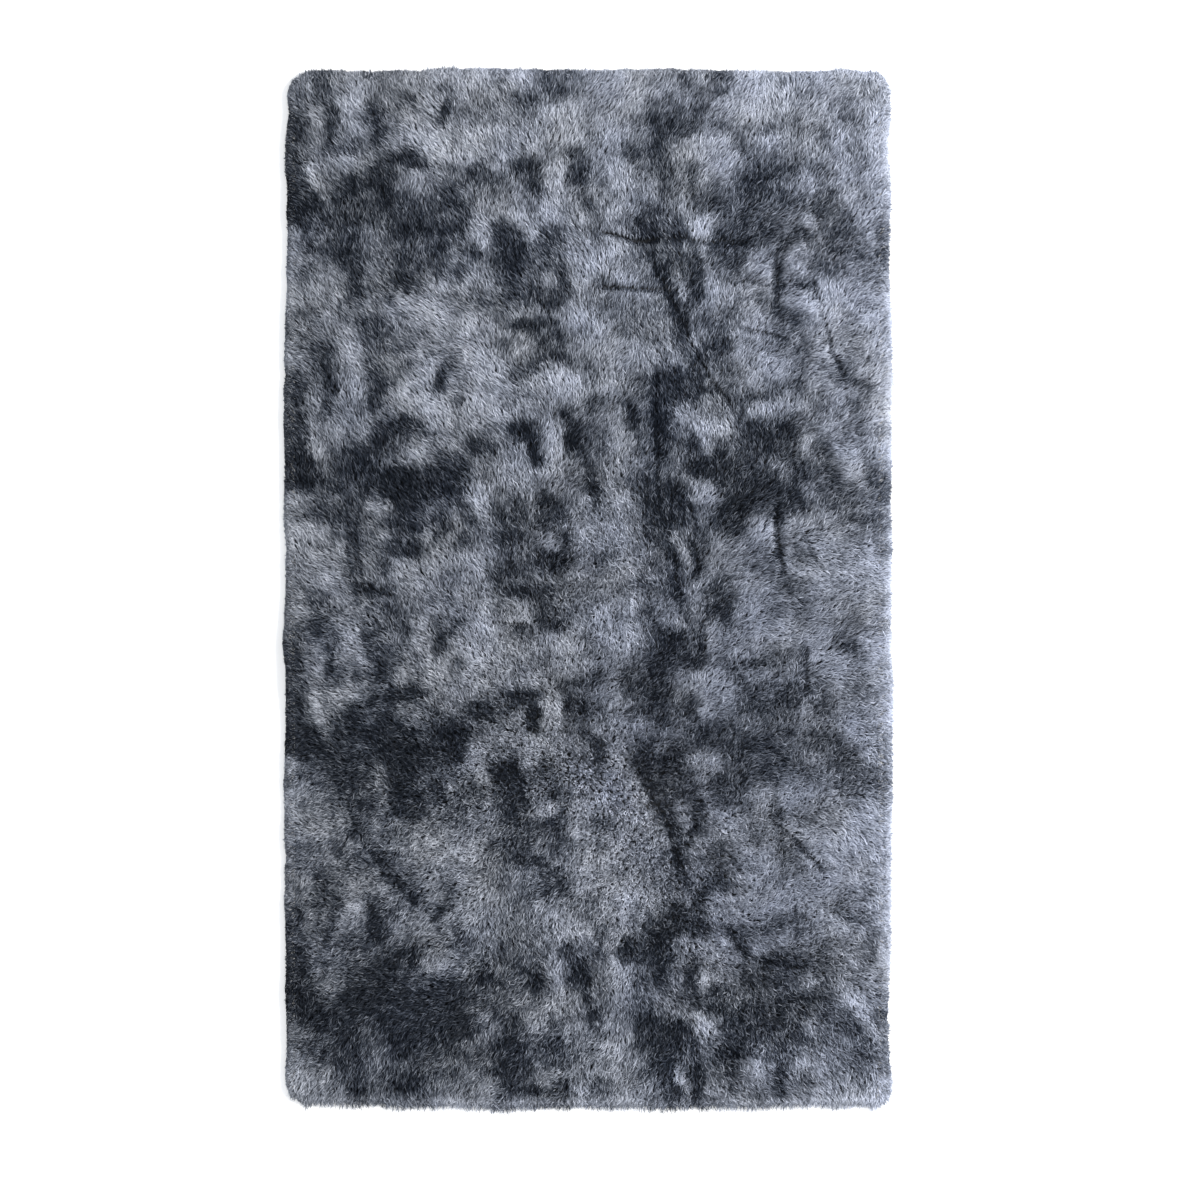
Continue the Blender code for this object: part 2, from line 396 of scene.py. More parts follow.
def height_map():
    """The height of the solid's top at each point of the lattice, each blended with its four neighbours."""
    corners = [vertex.co[:] for vertex in solid.data.vertices]
    tree = BVHTree.FromPolygons(corners, [face.vertices[:] for face in solid.data.polygons])
    columns = math.ceil((high.x - low.x + 2 * MAP_MARGIN) / MAP_STEP)
    rows = math.ceil((high.y - low.y + 2 * MAP_MARGIN) / MAP_STEP)
    x, y = np.meshgrid(
        low.x - MAP_MARGIN + np.arange(columns) * MAP_STEP,
        low.y - MAP_MARGIN + np.arange(rows) * MAP_STEP,
    )
    past, out_x, out_y = past_edge(x, y)
    over = np.maximum(past + MAP_INSET, 0.0)
    spots = np.stack([x - out_x * over, y - out_y * over, np.ones(x.shape)], 2)
    heights = np.zeros((rows, columns))
    for row in range(rows):
        for column in range(columns):
            heights[row, column] = tree.ray_cast(spots[row][column], Vector((0.0, 0.0, -1.0)))[0].z
    padded = np.pad(heights, 1, mode="edge")
    sides = padded[:-2, 1:-1] + padded[2:, 1:-1] + padded[1:-1, :-2] + padded[1:-1, 2:]
    return (2 * heights + sides) / 6

HEIGHTS = height_map()

def pile_height(x, y):
    """How high the pile stands: the map, rounded off at the rim."""
    rounding = np.interp(past_edge(x, y)[0], *zip(*RIM_ROUNDING))
    column, row = (x - low.x + MAP_MARGIN) / MAP_STEP, (y - low.y + MAP_MARGIN) / MAP_STEP
    return rounding * between(HEIGHTS, column, row)

print("the pile stands up to", round(HEIGHTS.max() / MM, 1), "mm high")

# %% [markdown]
# ## Folds
#
# The rug was folded to be stored, and the folds still show as thin dark lines, where the pile parts and
# its shaded roots are seen. The locks there stand lower and stop short of the line, and painted shade
# darkens their colour along it. The solid has the wide trough of each fold. This chart gives the line at
# the bottom of it: where it starts and ends, how far it bulges to the right of its way, half its width, and
# how strongly it shows.

# %% The chart of the folds
FOLD_WANDER = [
    # how far the folds wander, over what stretches, seeds across and up
    (0.0052, 0.046, 41, 42),
    (0.0022, 0.014, 43, 44),
]
FOLD_GRIP = 1.1  # how firmly a fold holds back the locks that would cross it
SPECK = 1e-9  # so that nothing is divided by zero
FOLDS = [
    # fold, start and end from the middle in cm, bulge cm, half width cm, strength
    ("deep, upper", (14.0, 66.5), (19.6, 55.5), 0.6, 0.8, 0.62),
    ("deep, branch", (21.5, 62.7), (20.3, 55.0), 0.3, 0.8, 0.50),
    ("deep, lower", (19.6, 55.5), (21.5, 50.0), -0.3, 0.7, 0.85),
    ("deep, lowest", (21.5, 50.0), (24.8, 43.6), -0.2, 0.6, 1.00),
    ("deep, end", (24.8, 43.6), (30.4, 36.2), 0.4, 0.6, 0.50),
    ("long, upper", (14.4, 45.5), (14.8, 16.0), 0.4, 0.7, 0.52),
    ("long, middle", (18.0, 20.5), (18.6, 1.0), 1.0, 0.5, 0.55),
    ("long, lower", (11.8, -40.0), (19.0, -56.0), -0.8, 0.7, 0.70),
    ("cross, left", (3.0, 73.2), (15.0, 71.6), 0.6, 0.5, 0.80),
    ("cross, right", (15.0, 71.6), (33.0, 70.6), 0.0, 0.4, 0.52),
    ("cross, second", (30.0, 62.8), (47.0, 62.4), 0.0, 0.4, 0.48),
    ("cross, third", (32.2, 53.4), (40.6, 51.4), 0.3, 0.4, 0.60),
    ("cross, fourth", (2.7, 62.0), (18.7, 61.5), 0.0, 0.4, 0.65),
    ("slant, right", (46.5, 63.0), (52.4, 44.2), 0.8, 0.5, 0.50),
    ("slant, middle", (-11.0, 61.2), (-7.8, 56.0), 0.2, 0.5, 0.50),
    ("slant, second", (44.3, 11.8), (47.8, 4.8), 0.2, 0.4, 0.45),
    ("slant, low", (38.6, -47.1), (47.8, -57.0), 0.0, 0.5, 0.50),
    ("slit, upper", (38.2, 68.6), (39.0, 57.6), 0.2, 0.6, 0.50),
    ("slit, middle", (38.4, 16.5), (40.0, 3.2), 0.3, 0.7, 0.55),
    ("slit, left", (21.9, 11.0), (23.0, 2.8), 0.2, 0.7, 0.45),
    ("slit, lower", (44.4, -12.2), (44.6, -21.8), 0.0, 0.5, 0.50),
    ("arc, steep", (28.9, -68.6), (32.4, -74.8), 0.4, 0.6, 0.60),
    ("arc, flat", (32.4, -74.8), (44.3, -76.4), 0.8, 0.6, 0.60),
    ("streak, left", (-47.6, -47.1), (-35.3, -63.5), 0.8, 1.0, 0.45),
    ("short, left", (-47.8, 1.8), (-39.6, -1.5), 0.2, 0.4, 0.45),
    ("short, middle", (-19.6, -7.2), (-11.0, -7.8), 0.2, 0.4, 0.50),
]

def from_fold(x, y, start, end, bulge):
    """How far each place is from a fold, on which side of it, and how far along it, from 0 to 1.

    A fold is a shallow curve: at its middle it is as far off its straight line as it bulges.
    """
    run_x, run_y = (end[0] - start[0]) * CM, (end[1] - start[1]) * CM
    length = math.hypot(run_x, run_y)
    dx, dy = x - start[0] * CM, y - start[1] * CM
    along = (dx * run_x + dy * run_y) / length**2
    held = np.clip(along, 0.0, 1.0)
    side = bulge * CM * 4 * held * (1 - held) / length
    dx, dy = dx - held * run_x - side * run_y, dy - held * run_y + side * run_x
    return np.hypot(dx, dy), np.sign(dx * run_y - dy * run_x), along

def wandered(x, y, wander):
    """The places moved a little, so that what is drawn straight or round isn't quite."""
    moved_x, moved_y = x, y
    for reach, size, first, second in wander:
        moved_x = moved_x + reach * drift(x, y, size, first)
        moved_y = moved_y + reach * drift(x, y, size, second)
    return moved_x, moved_y

def fold_at(x, y):
    """How strongly a fold shows at each place, from 0 to 1."""
    x, y = wandered(x, y, FOLD_WANDER)
    shown = np.zeros(x.shape)
    for _, start, end, bulge, half_width, strength in FOLDS:
        away, _, _ = from_fold(x, y, start, end, bulge)
        shown = np.maximum(shown, strength * np.exp(-((away / (half_width * CM)) ** 2)))
    return shown

def held_at_fold(x, y, tip_x, tip_y):
    """The share of its way that each lock still goes, where it would cross a fold."""
    goes = np.ones(x.shape)
    x, y = wandered(x, y, FOLD_WANDER)
    tip_x, tip_y = wandered(tip_x, tip_y, FOLD_WANDER)
    for _, start, end, bulge, _, strength in FOLDS:
        root_away, root_side, along = from_fold(x, y, start, end, bulge)
        tip_away, tip_side, _ = from_fold(tip_x, tip_y, start, end, bulge)
        crosses = (root_side * tip_side < 0) & (along > 0.0) & (along < 1.0)
        back = min(strength * FOLD_GRIP, 1.0) * tip_away / (root_away + tip_away + SPECK)
        goes = np.where(crosses, np.minimum(goes, 1.0 - back), goes)
    return goes

# %% [markdown]
# ## The dye
#
# The pile is dyed in patches. The cloth is dyed by the roll, so the same patches come back down the
# length, once each 54.5 cm, and the rug holds almost four repeats. The chart below gives one repeat. Each
# row is a soft oval: where its middle is from the rug's centre line and from the repeat's top edge, half
# its size each way, its turn in degrees, and how far it takes the dye towards dark, or towards pale where
# the number is less than zero. The rows are laid one over another, in this order.

# %% The charts of the dye
REPEAT = 0.545
REPEAT_TOP = 1.070  # where the first repeat begins, from the rug's middle
DYE_CHART = [
    # across cm, down cm, half across cm, half down cm, turn, depth
    (-48.4, 28.7, 14.8, 5.5, 0, 0.34),
    (-34.9, 31.2, 11.9, 7, 0, 0.34),
    (36.9, 27.9, 11.1, 9.4, 0, 0.48),
    (14.4, 16.4, 5.3, 12.3, 0, 0.3),
    (16.8, 41, 6.2, 12.3, 12, 0.28),
    (-59.9, 19.5, 2.1, 13.5, 0, 0.3),
    (-23, 10.3, 13.5, 9.4, 0, -0.28),
    (34.1, 5.3, 8.2, 5.3, 0, -0.3),
    (52.9, 8.2, 9, 9, 0, -0.22),
    (48.8, 47.6, 12.7, 7, 0, -0.35),
    (-0.4, 8.2, 9, 7, 0, -0.22),
    (-53.8, 44.1, 9, 7, 0, -0.25),
    (-31.2, 48.4, 12.3, 5.3, 0, -0.2),
    (24.2, 17.2, 8.2, 2.9, 0, -0.2),
    (-54.2, 4.5, 2.5, 4.9, 0, 0.5),
    (-59.9, 11.9, 2.5, 3.7, 0, 0.55),
    (-52.5, 12.3, 1.2, 4.5, -8, 0.65),
    (-59.5, 18.9, 2.3, 2.5, 0, 0.45),
    (-47.2, 15.2, 2.1, 1.4, 0, 0.35),
    (-43.1, 10.7, 2.1, 5.3, 8, 0.55),
    (-39.4, 9.6, 1.6, 1.6, 0, 0.35),
    (-43.3, 14.2, 2.1, 1.8, 0, 0.6),
    (-43.5, 1.2, 5.3, 1.6, 0, 0.3),
    (-36.3, 6.6, 1.6, 1.6, 0, 0.5),
    (-36.9, 3.1, 2.5, 1.2, 0, 0.35),
    (-39.8, 3.7, 2.5, 2.5, 0, 0.2),
    (-28.7, 8.2, 1.4, 4.7, -30, 0.75),
    (-28.3, 4.1, 2.9, 1, 0, 0.35),
    (-26.3, 13.5, 1.6, 1.8, -30, 0.45),
    (-13.1, 7, 3.1, 2.1, 20, 0.42),
    (-7.4, 2.5, 3.3, 3.1, 0, 0.6),
    (-4.9, 4.9, 1.8, 1.6, 0, 0.6),
    (-17.4, 2.1, 1.8, 2.3, 0, 0.35),
    (-36.1, 18.9, 4.3, 2.3, 5, 0.88),
    (-41.9, 21.8, 2.9, 3.5, 0, 0.8),
    (-59.9, 23.2, 2.7, 2.9, 0, 0.6),
    (-48, 24.2, 3.1, 2.5, 0, 0.7),
    (-57.9, 29.1, 7, 4.1, 0, 0.86),
    (-46.6, 28.9, 5.5, 3.7, 0, 0.7),
    (-39.4, 27.9, 3.3, 3.3, 0, 0.7),
    (-36.7, 32.4, 5.3, 4.5, 0, 0.95),
    (-31.2, 26.3, 2.7, 2.5, 0, 0.55),
    (-27.5, 29.5, 3.5, 5.5, 0, 0.9),
    (-21.8, 22.6, 3.5, 2.1, -10, 0.75),
    (-12.7, 19.9, 3.3, 2.1, 0, 0.88),
    (-10.7, 23.8, 1.6, 3.1, 0, 0.88),
    (-3.5, 17.2, 2.3, 1.6, 0, 0.7),
    (-1.8, 22, 2.7, 3.3, 0, 0.92),
    (0.2, 27.5, 1.4, 3.5, 22, 0.75),
    (2.1, 32.8, 1.4, 3.7, 0, 0.65),
    (-49.2, 36.9, 3.1, 4.7, 0, 0.7),
    (-47.2, 44.3, 1.8, 5.7, 0, 0.68),
    (-36.7, 39, 3.5, 2.9, 0, 0.8),
    (-37.3, 43.7, 4.1, 2.1, 0, 0.78),
    (-30, 39, 2.1, 3.7, 0, 0.6),
    (-23.6, 38.6, 2.3, 1.8, 0, 0.6),
    (-25.9, 42.3, 1.8, 1.6, 0, 0.45),
    (-15.4, 38.2, 3.5, 7, 6, 0.93),
    (-18.1, 34.5, 1.8, 2.9, 0, 0.6),
    (-7.8, 36.5, 2.9, 4.1, 0, 0.66),
    (-18.1, 49.7, 2.1, 2.1, 0, 0.55),
    (-14, 46.8, 4.1, 2.1, 0, 0.5),
    (-7.4, 46.4, 4.1, 2.5, 0, 0.72),
    (-11.5, 52.9, 4.9, 1.8, 0, 0.75),
    (-4.9, 42.3, 1.4, 2.9, 0, 0.45),
    (-40.6, 47.4, 1.8, 1.6, 0, 0.45),
    (-44.3, 52.5, 3.7, 1.8, 0, 0.68),
    (-49.7, 50.5, 1.8, 1.8, 0, 0.35),
    (-54.8, 36.5, 2.9, 2.5, 0, 0.42),
    (-57.5, 50.1, 2.9, 2.5, 0, 0.25),
    (19.9, 2.5, 1.2, 3.5, 32, 0.6),
    (23, 7.8, 1.6, 3.7, 0, 0.8),
    (27.1, 2.5, 3.1, 2.7, 0, 0.8),
    (16.8, 9.8, 4.1, 3.7, 0, 0.9),
    (21.3, 12.3, 3.7, 1.8, 0, 0.75),
    (14.6, 16.4, 3.1, 4.9, 0, 0.88),
    (8.4, 16.8, 1.8, 2.9, 0, 0.78),
    (30.2, 15.2, 1.4, 3.9, 32, 0.7),
    (34.1, 13.1, 3.1, 1, 0, 0.55),
    (39.4, 11.3, 3.5, 1.8, 20, 0.45),
    (43.5, 12.3, 1.6, 3.1, 0, 0.5),
    (36.9, 21.8, 6.2, 4.5, 0, 0.6),
    (42.3, 19.3, 3.9, 2.3, 0, 0.7),
    (21.8, 22.2, 1.6, 3.1, 0, 0.6),
    (15.4, 23, 1.4, 3.5, 0, 0.55),
    (10.7, 21.5, 1.2, 2.3, 0, 0.4),
    (27.1, 24.6, 1.6, 1.6, 0, 0.6),
    (25.4, 27.7, 4.5, 2.5, 0, 0.75),
    (34.9, 32, 7.4, 4.9, 0, 0.74),
    (12.5, 33.2, 2.7, 4.5, 8, 0.92),
    (18.1, 33.2, 2.9, 3.3, 0, 0.78),
    (15.2, 39.8, 2.9, 4.1, 20, 0.88),
    (18.7, 38.2, 1.6, 2.9, 0, 0.6),
    (17.4, 46.4, 1.6, 4.9, 18, 0.8),
    (22.6, 38.2, 1, 4.1, 18, 0.6),
    (22.4, 44.7, 1.6, 5.3, -10, 0.85),
    (29.5, 38.2, 3.9, 3.5, 0, 0.85),
    (45.6, 27.5, 4.5, 2.1, 0, 0.66),
    (50.5, 30.4, 4.5, 2.3, -24, 0.6),
    (52.1, 33.2, 4.1, 2.5, 0, 0.65),
    (43.5, 34.1, 2.9, 2.1, 0, 0.68),
    (57.5, 37.8, 6.2, 2.3, 0, 0.52),
    (39, 42.1, 1.4, 7, 0, 0.66),
    (34.9, 47.2, 3.1, 1.4, 0, 0.4),
    (44.3, 44.7, 1.8, 3.3, 40, 0.45),
    (52.9, 42.3, 5.3, 1.4, 0, 0.25),
    (51.7, 7.8, 2.1, 2.9, 20, 0.55),
    (55.4, 10.7, 2.9, 1.4, -20, 0.5),
    (47.6, 16, 1.8, 3.7, 0, 0.35),
    (56.6, 17.2, 2.5, 4.1, 0, 0.35),
    (48.8, 23, 2.7, 2.7, 0, 0.5),
    (58.1, 5.3, 2.1, 1.6, 0, 0.35),
    (27.7, 51.7, 3.5, 2.5, 0, 0.7),
    (18.7, 52.5, 1.8, 2.9, 0, 0.8),
    (41.9, 51.3, 3.1, 2.5, -20, 0.68),
    (10.9, 51.3, 3.7, 2.5, 0, 0.35),
    (0.6, 8.6, 1.4, 3.3, 0, 0.35),
    (1.6, 15.2, 1.8, 2.9, 0, 0.35),
    (2.9, 22.2, 1.4, 2.9, 0, 0.35),
    (3.3, 44.7, 2.5, 2.9, 0, 0.45),
    (13.1, 2.1, 2.1, 2.1, 0, 0.4),
    (39, 2.3, 3.1, 1.8, 0, 0.4),
    (43.9, 2.9, 1.6, 2.5, 0, 0.3),
    (7, 30, 1.6, 2.5, 0, 0.25),
    (-48, 8.2, 2.3, 7.4, 0, -0.45),
    (-54.6, 23.4, 1.2, 5.7, 22, -0.6),
    (-49.2, 19.3, 3.7, 1.4, 0, -0.4),
    (-35.3, 12.3, 3.7, 3.7, 0, -0.3),
    (-22.6, 8.2, 4.9, 7.4, 0, -0.45),
    (-31.2, 16.8, 2.5, 2.9, -30, -0.55),
    (-13.3, 2.5, 2.3, 2.5, 0, -0.5),
    (-3.3, 11.5, 4.9, 4.1, 0, -0.55),
    (-6.6, 22.6, 1.8, 4.9, 0, -0.75),
    (-13.5, 28.7, 5.3, 2.1, 0, -0.45),
    (-21.8, 33.2, 1.8, 5.3, 12, -0.45),
    (-12.1, 32.8, 2.1, 2.1, 0, -0.4),
    (-7, 29.1, 2.9, 2.9, 0, -0.5),
    (-43.1, 36.1, 2.5, 3.3, 20, -0.42),
    (-35.3, 23, 2.3, 1.8, 20, -0.4),
    (-59.9, 33.7, 2.3, 1.6, 0, -0.45),
    (-57, 42.3, 4.5, 4.5, 0, -0.4),
    (-26.7, 46.4, 4.1, 2.1, 0, -0.25),
    (-23.8, 51.3, 4.9, 2.1, 0, -0.35),
    (-8, 43.1, 2.1, 1.8, 0, -0.55),
    (-1.2, 44.3, 2.1, 6.2, 0, -0.35),
    (5.7, 6.6, 4.9, 4.5, 0, -0.45),
    (6.6, 23.8, 1.6, 7, 0, -0.45),
    (4.1, 38.2, 4.9, 5.3, 0, -0.35),
    (26.7, 17.2, 4.5, 3.1, -22, -0.72),
    (19.7, 16.4, 2.5, 1.6, 0, -0.5),
    (24.6, 23, 1.2, 2.7, 0, -0.6),
    (27.1, 7.8, 2.1, 1.6, 0, -0.55),
    (36.5, 6.2, 4.5, 4.9, 0, -0.5),
    (35.7, 15.8, 2.7, 1.6, 0, -0.65),
    (31.6, 9, 1.6, 2.1, 0, -0.25),
    (24.2, 32.4, 2.5, 2.5, 0, -0.72),
    (23.8, 37.8, 1, 2.1, 0, -0.35),
    (19.5, 44.3, 1, 4.1, 14, -0.6),
    (45.1, 23.4, 1.6, 3.3, 0, -0.55),
    (45.6, 32.4, 1.6, 1.8, 0, -0.6),
    (54.2, 25.9, 2.3, 4.5, 32, -0.7),
    (57.5, 32.8, 1.2, 4.1, 28, -0.6),
    (35.7, 40.2, 2.9, 2.9, 0, -0.72),
    (43.9, 39, 4.1, 2.1, 0, -0.6),
    (50.9, 14, 1.6, 2.9, 0, -0.3),
    (60.3, 16.4, 2.9, 12.3, 0, -0.7),
    (29.1, 44.7, 4.5, 2.9, 0, -0.45),
    (35.3, 52.5, 2.7, 2.1, 0, -0.5),
    (52.1, 48.4, 8.2, 3.3, 0, -0.4),
    (60.7, 48.4, 2.9, 8.2, 0, -0.45),
]

# The repeats aren't all alike. Here the rug is darker or paler than its repeat, from the rug's middle:
# first wide stretches, then patches. The wide stretches hold painted light and shade as well as dye:
# paler to the right, along the right edge and along the top and bottom edges, and darker at the left
# and the bottom left.
OWN_CHART = [
    # across cm, up cm, half across cm, half up cm, turn, depth
    (-40, -86, 26, 17, 0, 0.55),
    (-50, -24, 12, 50, 0, 0.2),
    (-18, -84, 16, 26, 0, 0.16),
    (20, 86, 46, 26, 0, -0.2),
    (20, -24, 24, 34, 0, -0.14),
    (48, -40, 20, 70, 0, -0.26),
    (54, 40, 14, 70, 0, -0.16),
    (61, 0, 3, 130, 0, -0.16),
    (0, 105.5, 70, 2.5, 0, -0.18),
    (8, -105.5, 60, 2.2, 0, -0.12),
    (-50, 11, 11, 18, 0, -0.1),
    (-30, -11, 11, 18, 0, 0.11),
    (-24, -58, 20, 15, 0, 0.08),
    (12, -48, 12, 18, 0, -0.13),
    (46, -54, 16, 12, 0, -0.2),
    (24, 96, 30, 9, 0, -0.12),
    (-9, 96, 11, 8, 0, 0.07),
    (10, 53, 9, 9, 0, -0.07),
    (42, -96, 22, 9, 0, 0.07),
    (10.9, 102.3, 8.6, 4.1, 0, -0.5),
    (49.9, 103.1, 7.2, 2.9, 0, -0.4),
    (-33.2, 104.8, 7.2, 1.6, 0, -0.3),
    (-23, 97.6, 6.2, 2.9, 0, 0.35),
    (-57.9, 88.3, 1.8, 3.7, 0, 0.3),
    (-35.7, 81.4, 4.5, 1.6, 0, -0.45),
    (-54.8, 66.2, 5.7, 4.1, 0, 0.4),
    (-43.3, 67.8, 2.5, 5.7, 0, 0.32),
    (-9.6, 65.8, 2.5, 3.3, 0, 0.32),
    (-24, 59.2, 4.5, 2.9, 0, 0.4),
    (4.9, 63.3, 3.7, 2.9, 0, -0.35),
    (19.1, 64.1, 2.1, 2.7, 0, 0.35),
    (27.7, 65.4, 2.9, 2.5, 0, 0.32),
    (49, 67.4, 3.7, 4.9, 0, 0.35),
    (26.3, 55.9, 5.3, 2.3, 0, -0.42),
    (56.4, 74.8, 1.6, 2.7, 0, -0.4),
    (28.9, 85.9, 3.1, 2.3, 0, -0.5),
    (32.4, 94.9, 3.3, 3.7, 0, -0.35),
    (39.6, 88.3, 4.1, 2.9, 0, -0.28),
    (-0.6, 81.6, 2.5, 2.1, 0, -0.45),
    (9.2, 85.3, 1.8, 4.5, 0, -0.28),
    (1, 50, 2.9, 2.9, 0, -0.38),
    (11.3, 48.1, 4.1, 3.3, 0, -0.38),
    (29.3, 45.2, 4.1, 2.9, 0, 0.38),
    (24.4, 36.8, 7, 2.1, 0, 0.38),
    (-36.3, 27.2, 6.2, 1.8, 0, -0.42),
    (-17.4, 20.6, 4.1, 4.1, 0, -0.42),
    (-14.2, 14.5, 2.9, 6.2, 0, -0.25),
    (-44.5, 13, 2.5, 2.5, 0, 0.38),
    (-54.8, 2.2, 6.2, 2.1, 0, -0.35),
    (-10.3, 2.6, 2.3, 1.6, 0, 0.42),
    (3.1, 8.9, 2.5, 2.5, 0, -0.35),
    (21.1, 10, 4.1, 2.5, 0, -0.35),
    (29.3, 1.7, 6.2, 2.5, 0, -0.38),
    (46.8, 19.6, 2.1, 2.9, 0, 0.35),
    (49.5, 10.4, 4.9, 2.9, 0, -0.25),
    (-36.3, -21.4, 3.7, 2.1, 0, 0.35),
    (-16.8, -25.5, 2.3, 4.1, 0, 0.35),
    (1.6, -27, 5.7, 2.5, 0, -0.36),
    (-17.9, -33.8, 2.1, 1.8, 0, -0.42),
    (-44.9, -42, 1.8, 6.2, 0, 0.42),
    (-40, -53.9, 4.5, 2.1, 0, 0.45),
    (-30.2, -46.1, 7.8, 4.1, 0, 0.35),
    (-55.2, -43, 4.1, 4.5, 0, 0.22),
    (9.8, -43, 4.5, 3.3, 0, -0.4),
    (-13.3, -51.2, 4.9, 1.6, 0, 0.35),
    (-4.3, -51.8, 2.7, 1.8, 0, 0.42),
    (27.3, -22.9, 2.9, 2.7, 0, -0.48),
    (30.4, -8.1, 3.3, 2.5, 0, 0.33),
    (51.9, -3, 4.1, 2.9, 0, -0.38),
    (47.4, -43.6, 4.5, 3.1, 0, -0.36),
    (32.4, -52.2, 8.2, 2.5, 0, -0.35),
    (57, -52.2, 3.7, 2.9, 0, -0.28),
    (22.2, -31.7, 5.7, 2.1, 0, 0.25),
    (-36.3, -61.5, 4.9, 6.2, 0, 0.25),
    (-11.3, -59.8, 3.3, 2.5, 0, 0.38),
    (1.6, -64.5, 4.5, 5.3, 0, 0.26),
    (13.3, -62.1, 2.5, 4.9, 0, -0.42),
    (-30.2, -75.8, 3.7, 2.1, 0, -0.42),
    (-52.1, -79.9, 2.1, 2.5, 0, -0.32),
    (-11.3, -75.4, 2.3, 1.8, 0, -0.38),
    (28.9, -78.9, 2.7, 2.1, 0, -0.38),
    (34.9, -69.3, 2.5, 2.5, 0, -0.3),
    (52.9, -76.8, 1.8, 2.7, 0, -0.35),
    (-19.9, -89.8, 2.5, 3.1, 0, -0.42),
    (-1.4, -94.3, 3.1, 3.9, 0, 0.32),
    (29.3, -100, 3.3, 2.1, 0, 0.42),
    (-25, -94.3, 1.8, 2.7, 0, -0.28),
    (6.8, -102.1, 5.7, 2.5, 0, -0.28),
    (-46.6, -88.1, 8.2, 2.5, 0, 0.22),
    (-40.4, 77.1, 16.4, 3.3, 0, -0.22),
    (7.2, 100, 3.7, 2.9, 0, -0.35),
    (25.6, 83.2, 3.3, 2.1, 0, -0.35),
    (38, 75.6, 4.5, 2.9, 0, -0.3),
    (42.3, 82.2, 1.8, 1.8, 0, -0.35),
    (-51.1, 101.3, 2.3, 1.8, 0, 0.28),
    (-48.2, 90, 4.1, 1.4, 0, 0.25),
    (-33.9, 86.3, 2.9, 1.2, 0, 0.28),
    (60.9, 70.3, 1.6, 8.6, 0, 0.4),
    (35.9, 67.4, 3.7, 2.9, 0, 0.22),
    (59.3, 21, 2.9, 4.1, 0, 0.55),
    (60.1, 9.3, 1.6, 3.3, 0, 0.3),
    (-19.5, 52.2, 2.5, 1.4, 0, -0.35),
    (50.7, 51, 1.8, 2.5, 0, -0.38),
    (-26.5, 44, 2.9, 4.5, 0, 0.25),
    (39.6, 25.1, 2.5, 3.3, 0, -0.28),
    (29.8, 14.5, 1.8, 2.1, 0, -0.32),
    (-14.2, 6.7, 1.8, 1.6, 0, -0.36),
    (10.3, 15.3, 2.5, 2.9, 0, 0.25),
    (33, -5.6, 3.3, 2.1, 0, -0.38),
    (-38.8, -14.3, 1.8, 2.5, 0, 0.35),
    (5.7, -43.4, 4.5, 2.9, 0, -0.35),
    (57.3, -35.8, 2.5, 1.6, 0, 0.42),
    (57, -54.3, 4.1, 4.5, 0, -0.38),
    (5.7, -26.2, 1.8, 4.1, 0, -0.3),
    (-31, -27, 3.7, 1.6, 0, -0.3),
    (-44.9, -44.6, 1.6, 4.5, 0, 0.3),
    (-50.7, -61.5, 1.6, 4.1, 0, 0.25),
    (10.9, -59.8, 2.1, 2.9, 0, -0.32),
    (15, -66, 1.6, 2.5, 0, -0.32),
    (-27.1, -77.5, 4.1, 1.8, 0, -0.3),
    (-14.4, -79.3, 1.8, 1.6, 0, 0.4),
    (60.1, -86.1, 1.8, 3.7, 0, 0.4),
    (-9, -90.2, 2.5, 1.6, 0, -0.38),
    (38.6, -94.9, 4.1, 1.8, 0, 0.34),
    (-32.2, -104.3, 30.8, 1, 0, -0.28),
    (-59.7, -90.8, 1.8, 2.9, 0, -0.28),
    (-8.6, 102.3, 2.9, 1.8, 0, -0.28),
    (4.3, 101.5, 4.1, 2.9, 0, -0.28),
    (28.7, 86.1, 3.3, 1.8, 0, -0.32),
    (52.9, 103.7, 2.5, 2.1, 0, -0.28),
    (-35.7, 69.9, 2.9, 2.9, 0, -0.26),
    (-3.5, 53.9, 3.7, 2.1, 0, -0.28),
    (3.7, 31.9, 1.6, 2.1, 0, -0.32),
    (14, 46.9, 3.3, 2.5, 0, -0.26),
    (52.3, 51, 2.1, 1.6, 0, -0.28),
    (27.3, -23.1, 3.3, 2.9, 0, -0.28),
    (-55.2, -17.7, 2.9, 1.6, 0, -0.28),
    (33, -6.5, 2.5, 2.1, 0, -0.26),
    (56.4, -60.4, 3.7, 2.5, 0, -0.28),
    (6.4, -39.9, 2.9, 8.2, 0, -0.16),
    (-53.8, -105.6, 4.1, 1, 0, -0.28),
    (-2.5, 104.3, 2.1, 2.9, 0, 0.26),
    (-9.6, 79.1, 4.9, 2.9, 0, 0.22),
    (60.1, 31.5, 1.6, 2.1, 0, 0.32),
    (56, 18, 4.9, 1.2, 0, 0.28),
    (-22, -39.9, 2.5, 2.9, 0, 0.26),
    (-44.5, -47.1, 2.1, 4.9, 0, 0.26),
    (-4.5, -52.2, 2.9, 2.1, 0, 0.26),
    (-26.1, -65.2, 2.9, 2.1, 0, 0.26),
    (18.1, -73.4, 1.6, 2.1, 0, 0.28),
    (58.1, -72.7, 1.6, 4.5, 0, 0.5),
    (58.1, -20.4, 2.1, 1.6, 0, 0.28),
    (14.2, 90.4, 1.8, 3.7, 0, 0.38),
    (35.3, 66.2, 2.1, 2.5, 0, -0.3),
    (56.6, 74, 2.5, 1.2, 40, -0.38),
    (-6.4, 85.1, 1.8, 2.7, 0, -0.3),
    (-30.2, -75.2, 4.5, 2.1, 0, -0.25),
    (-35.9, -86.5, 3.7, 3.3, 0, 0.25),
    (-52.3, -85.3, 3.7, 2.5, 0, 0.22),
    (46.2, -75.2, 0.6, 3.7, 0, -0.35),
    (56.2, -86.1, 5.3, 0.8, 53, -0.38),
    (-38.4, -96.8, 12.3, 4.1, 0, -0.16),
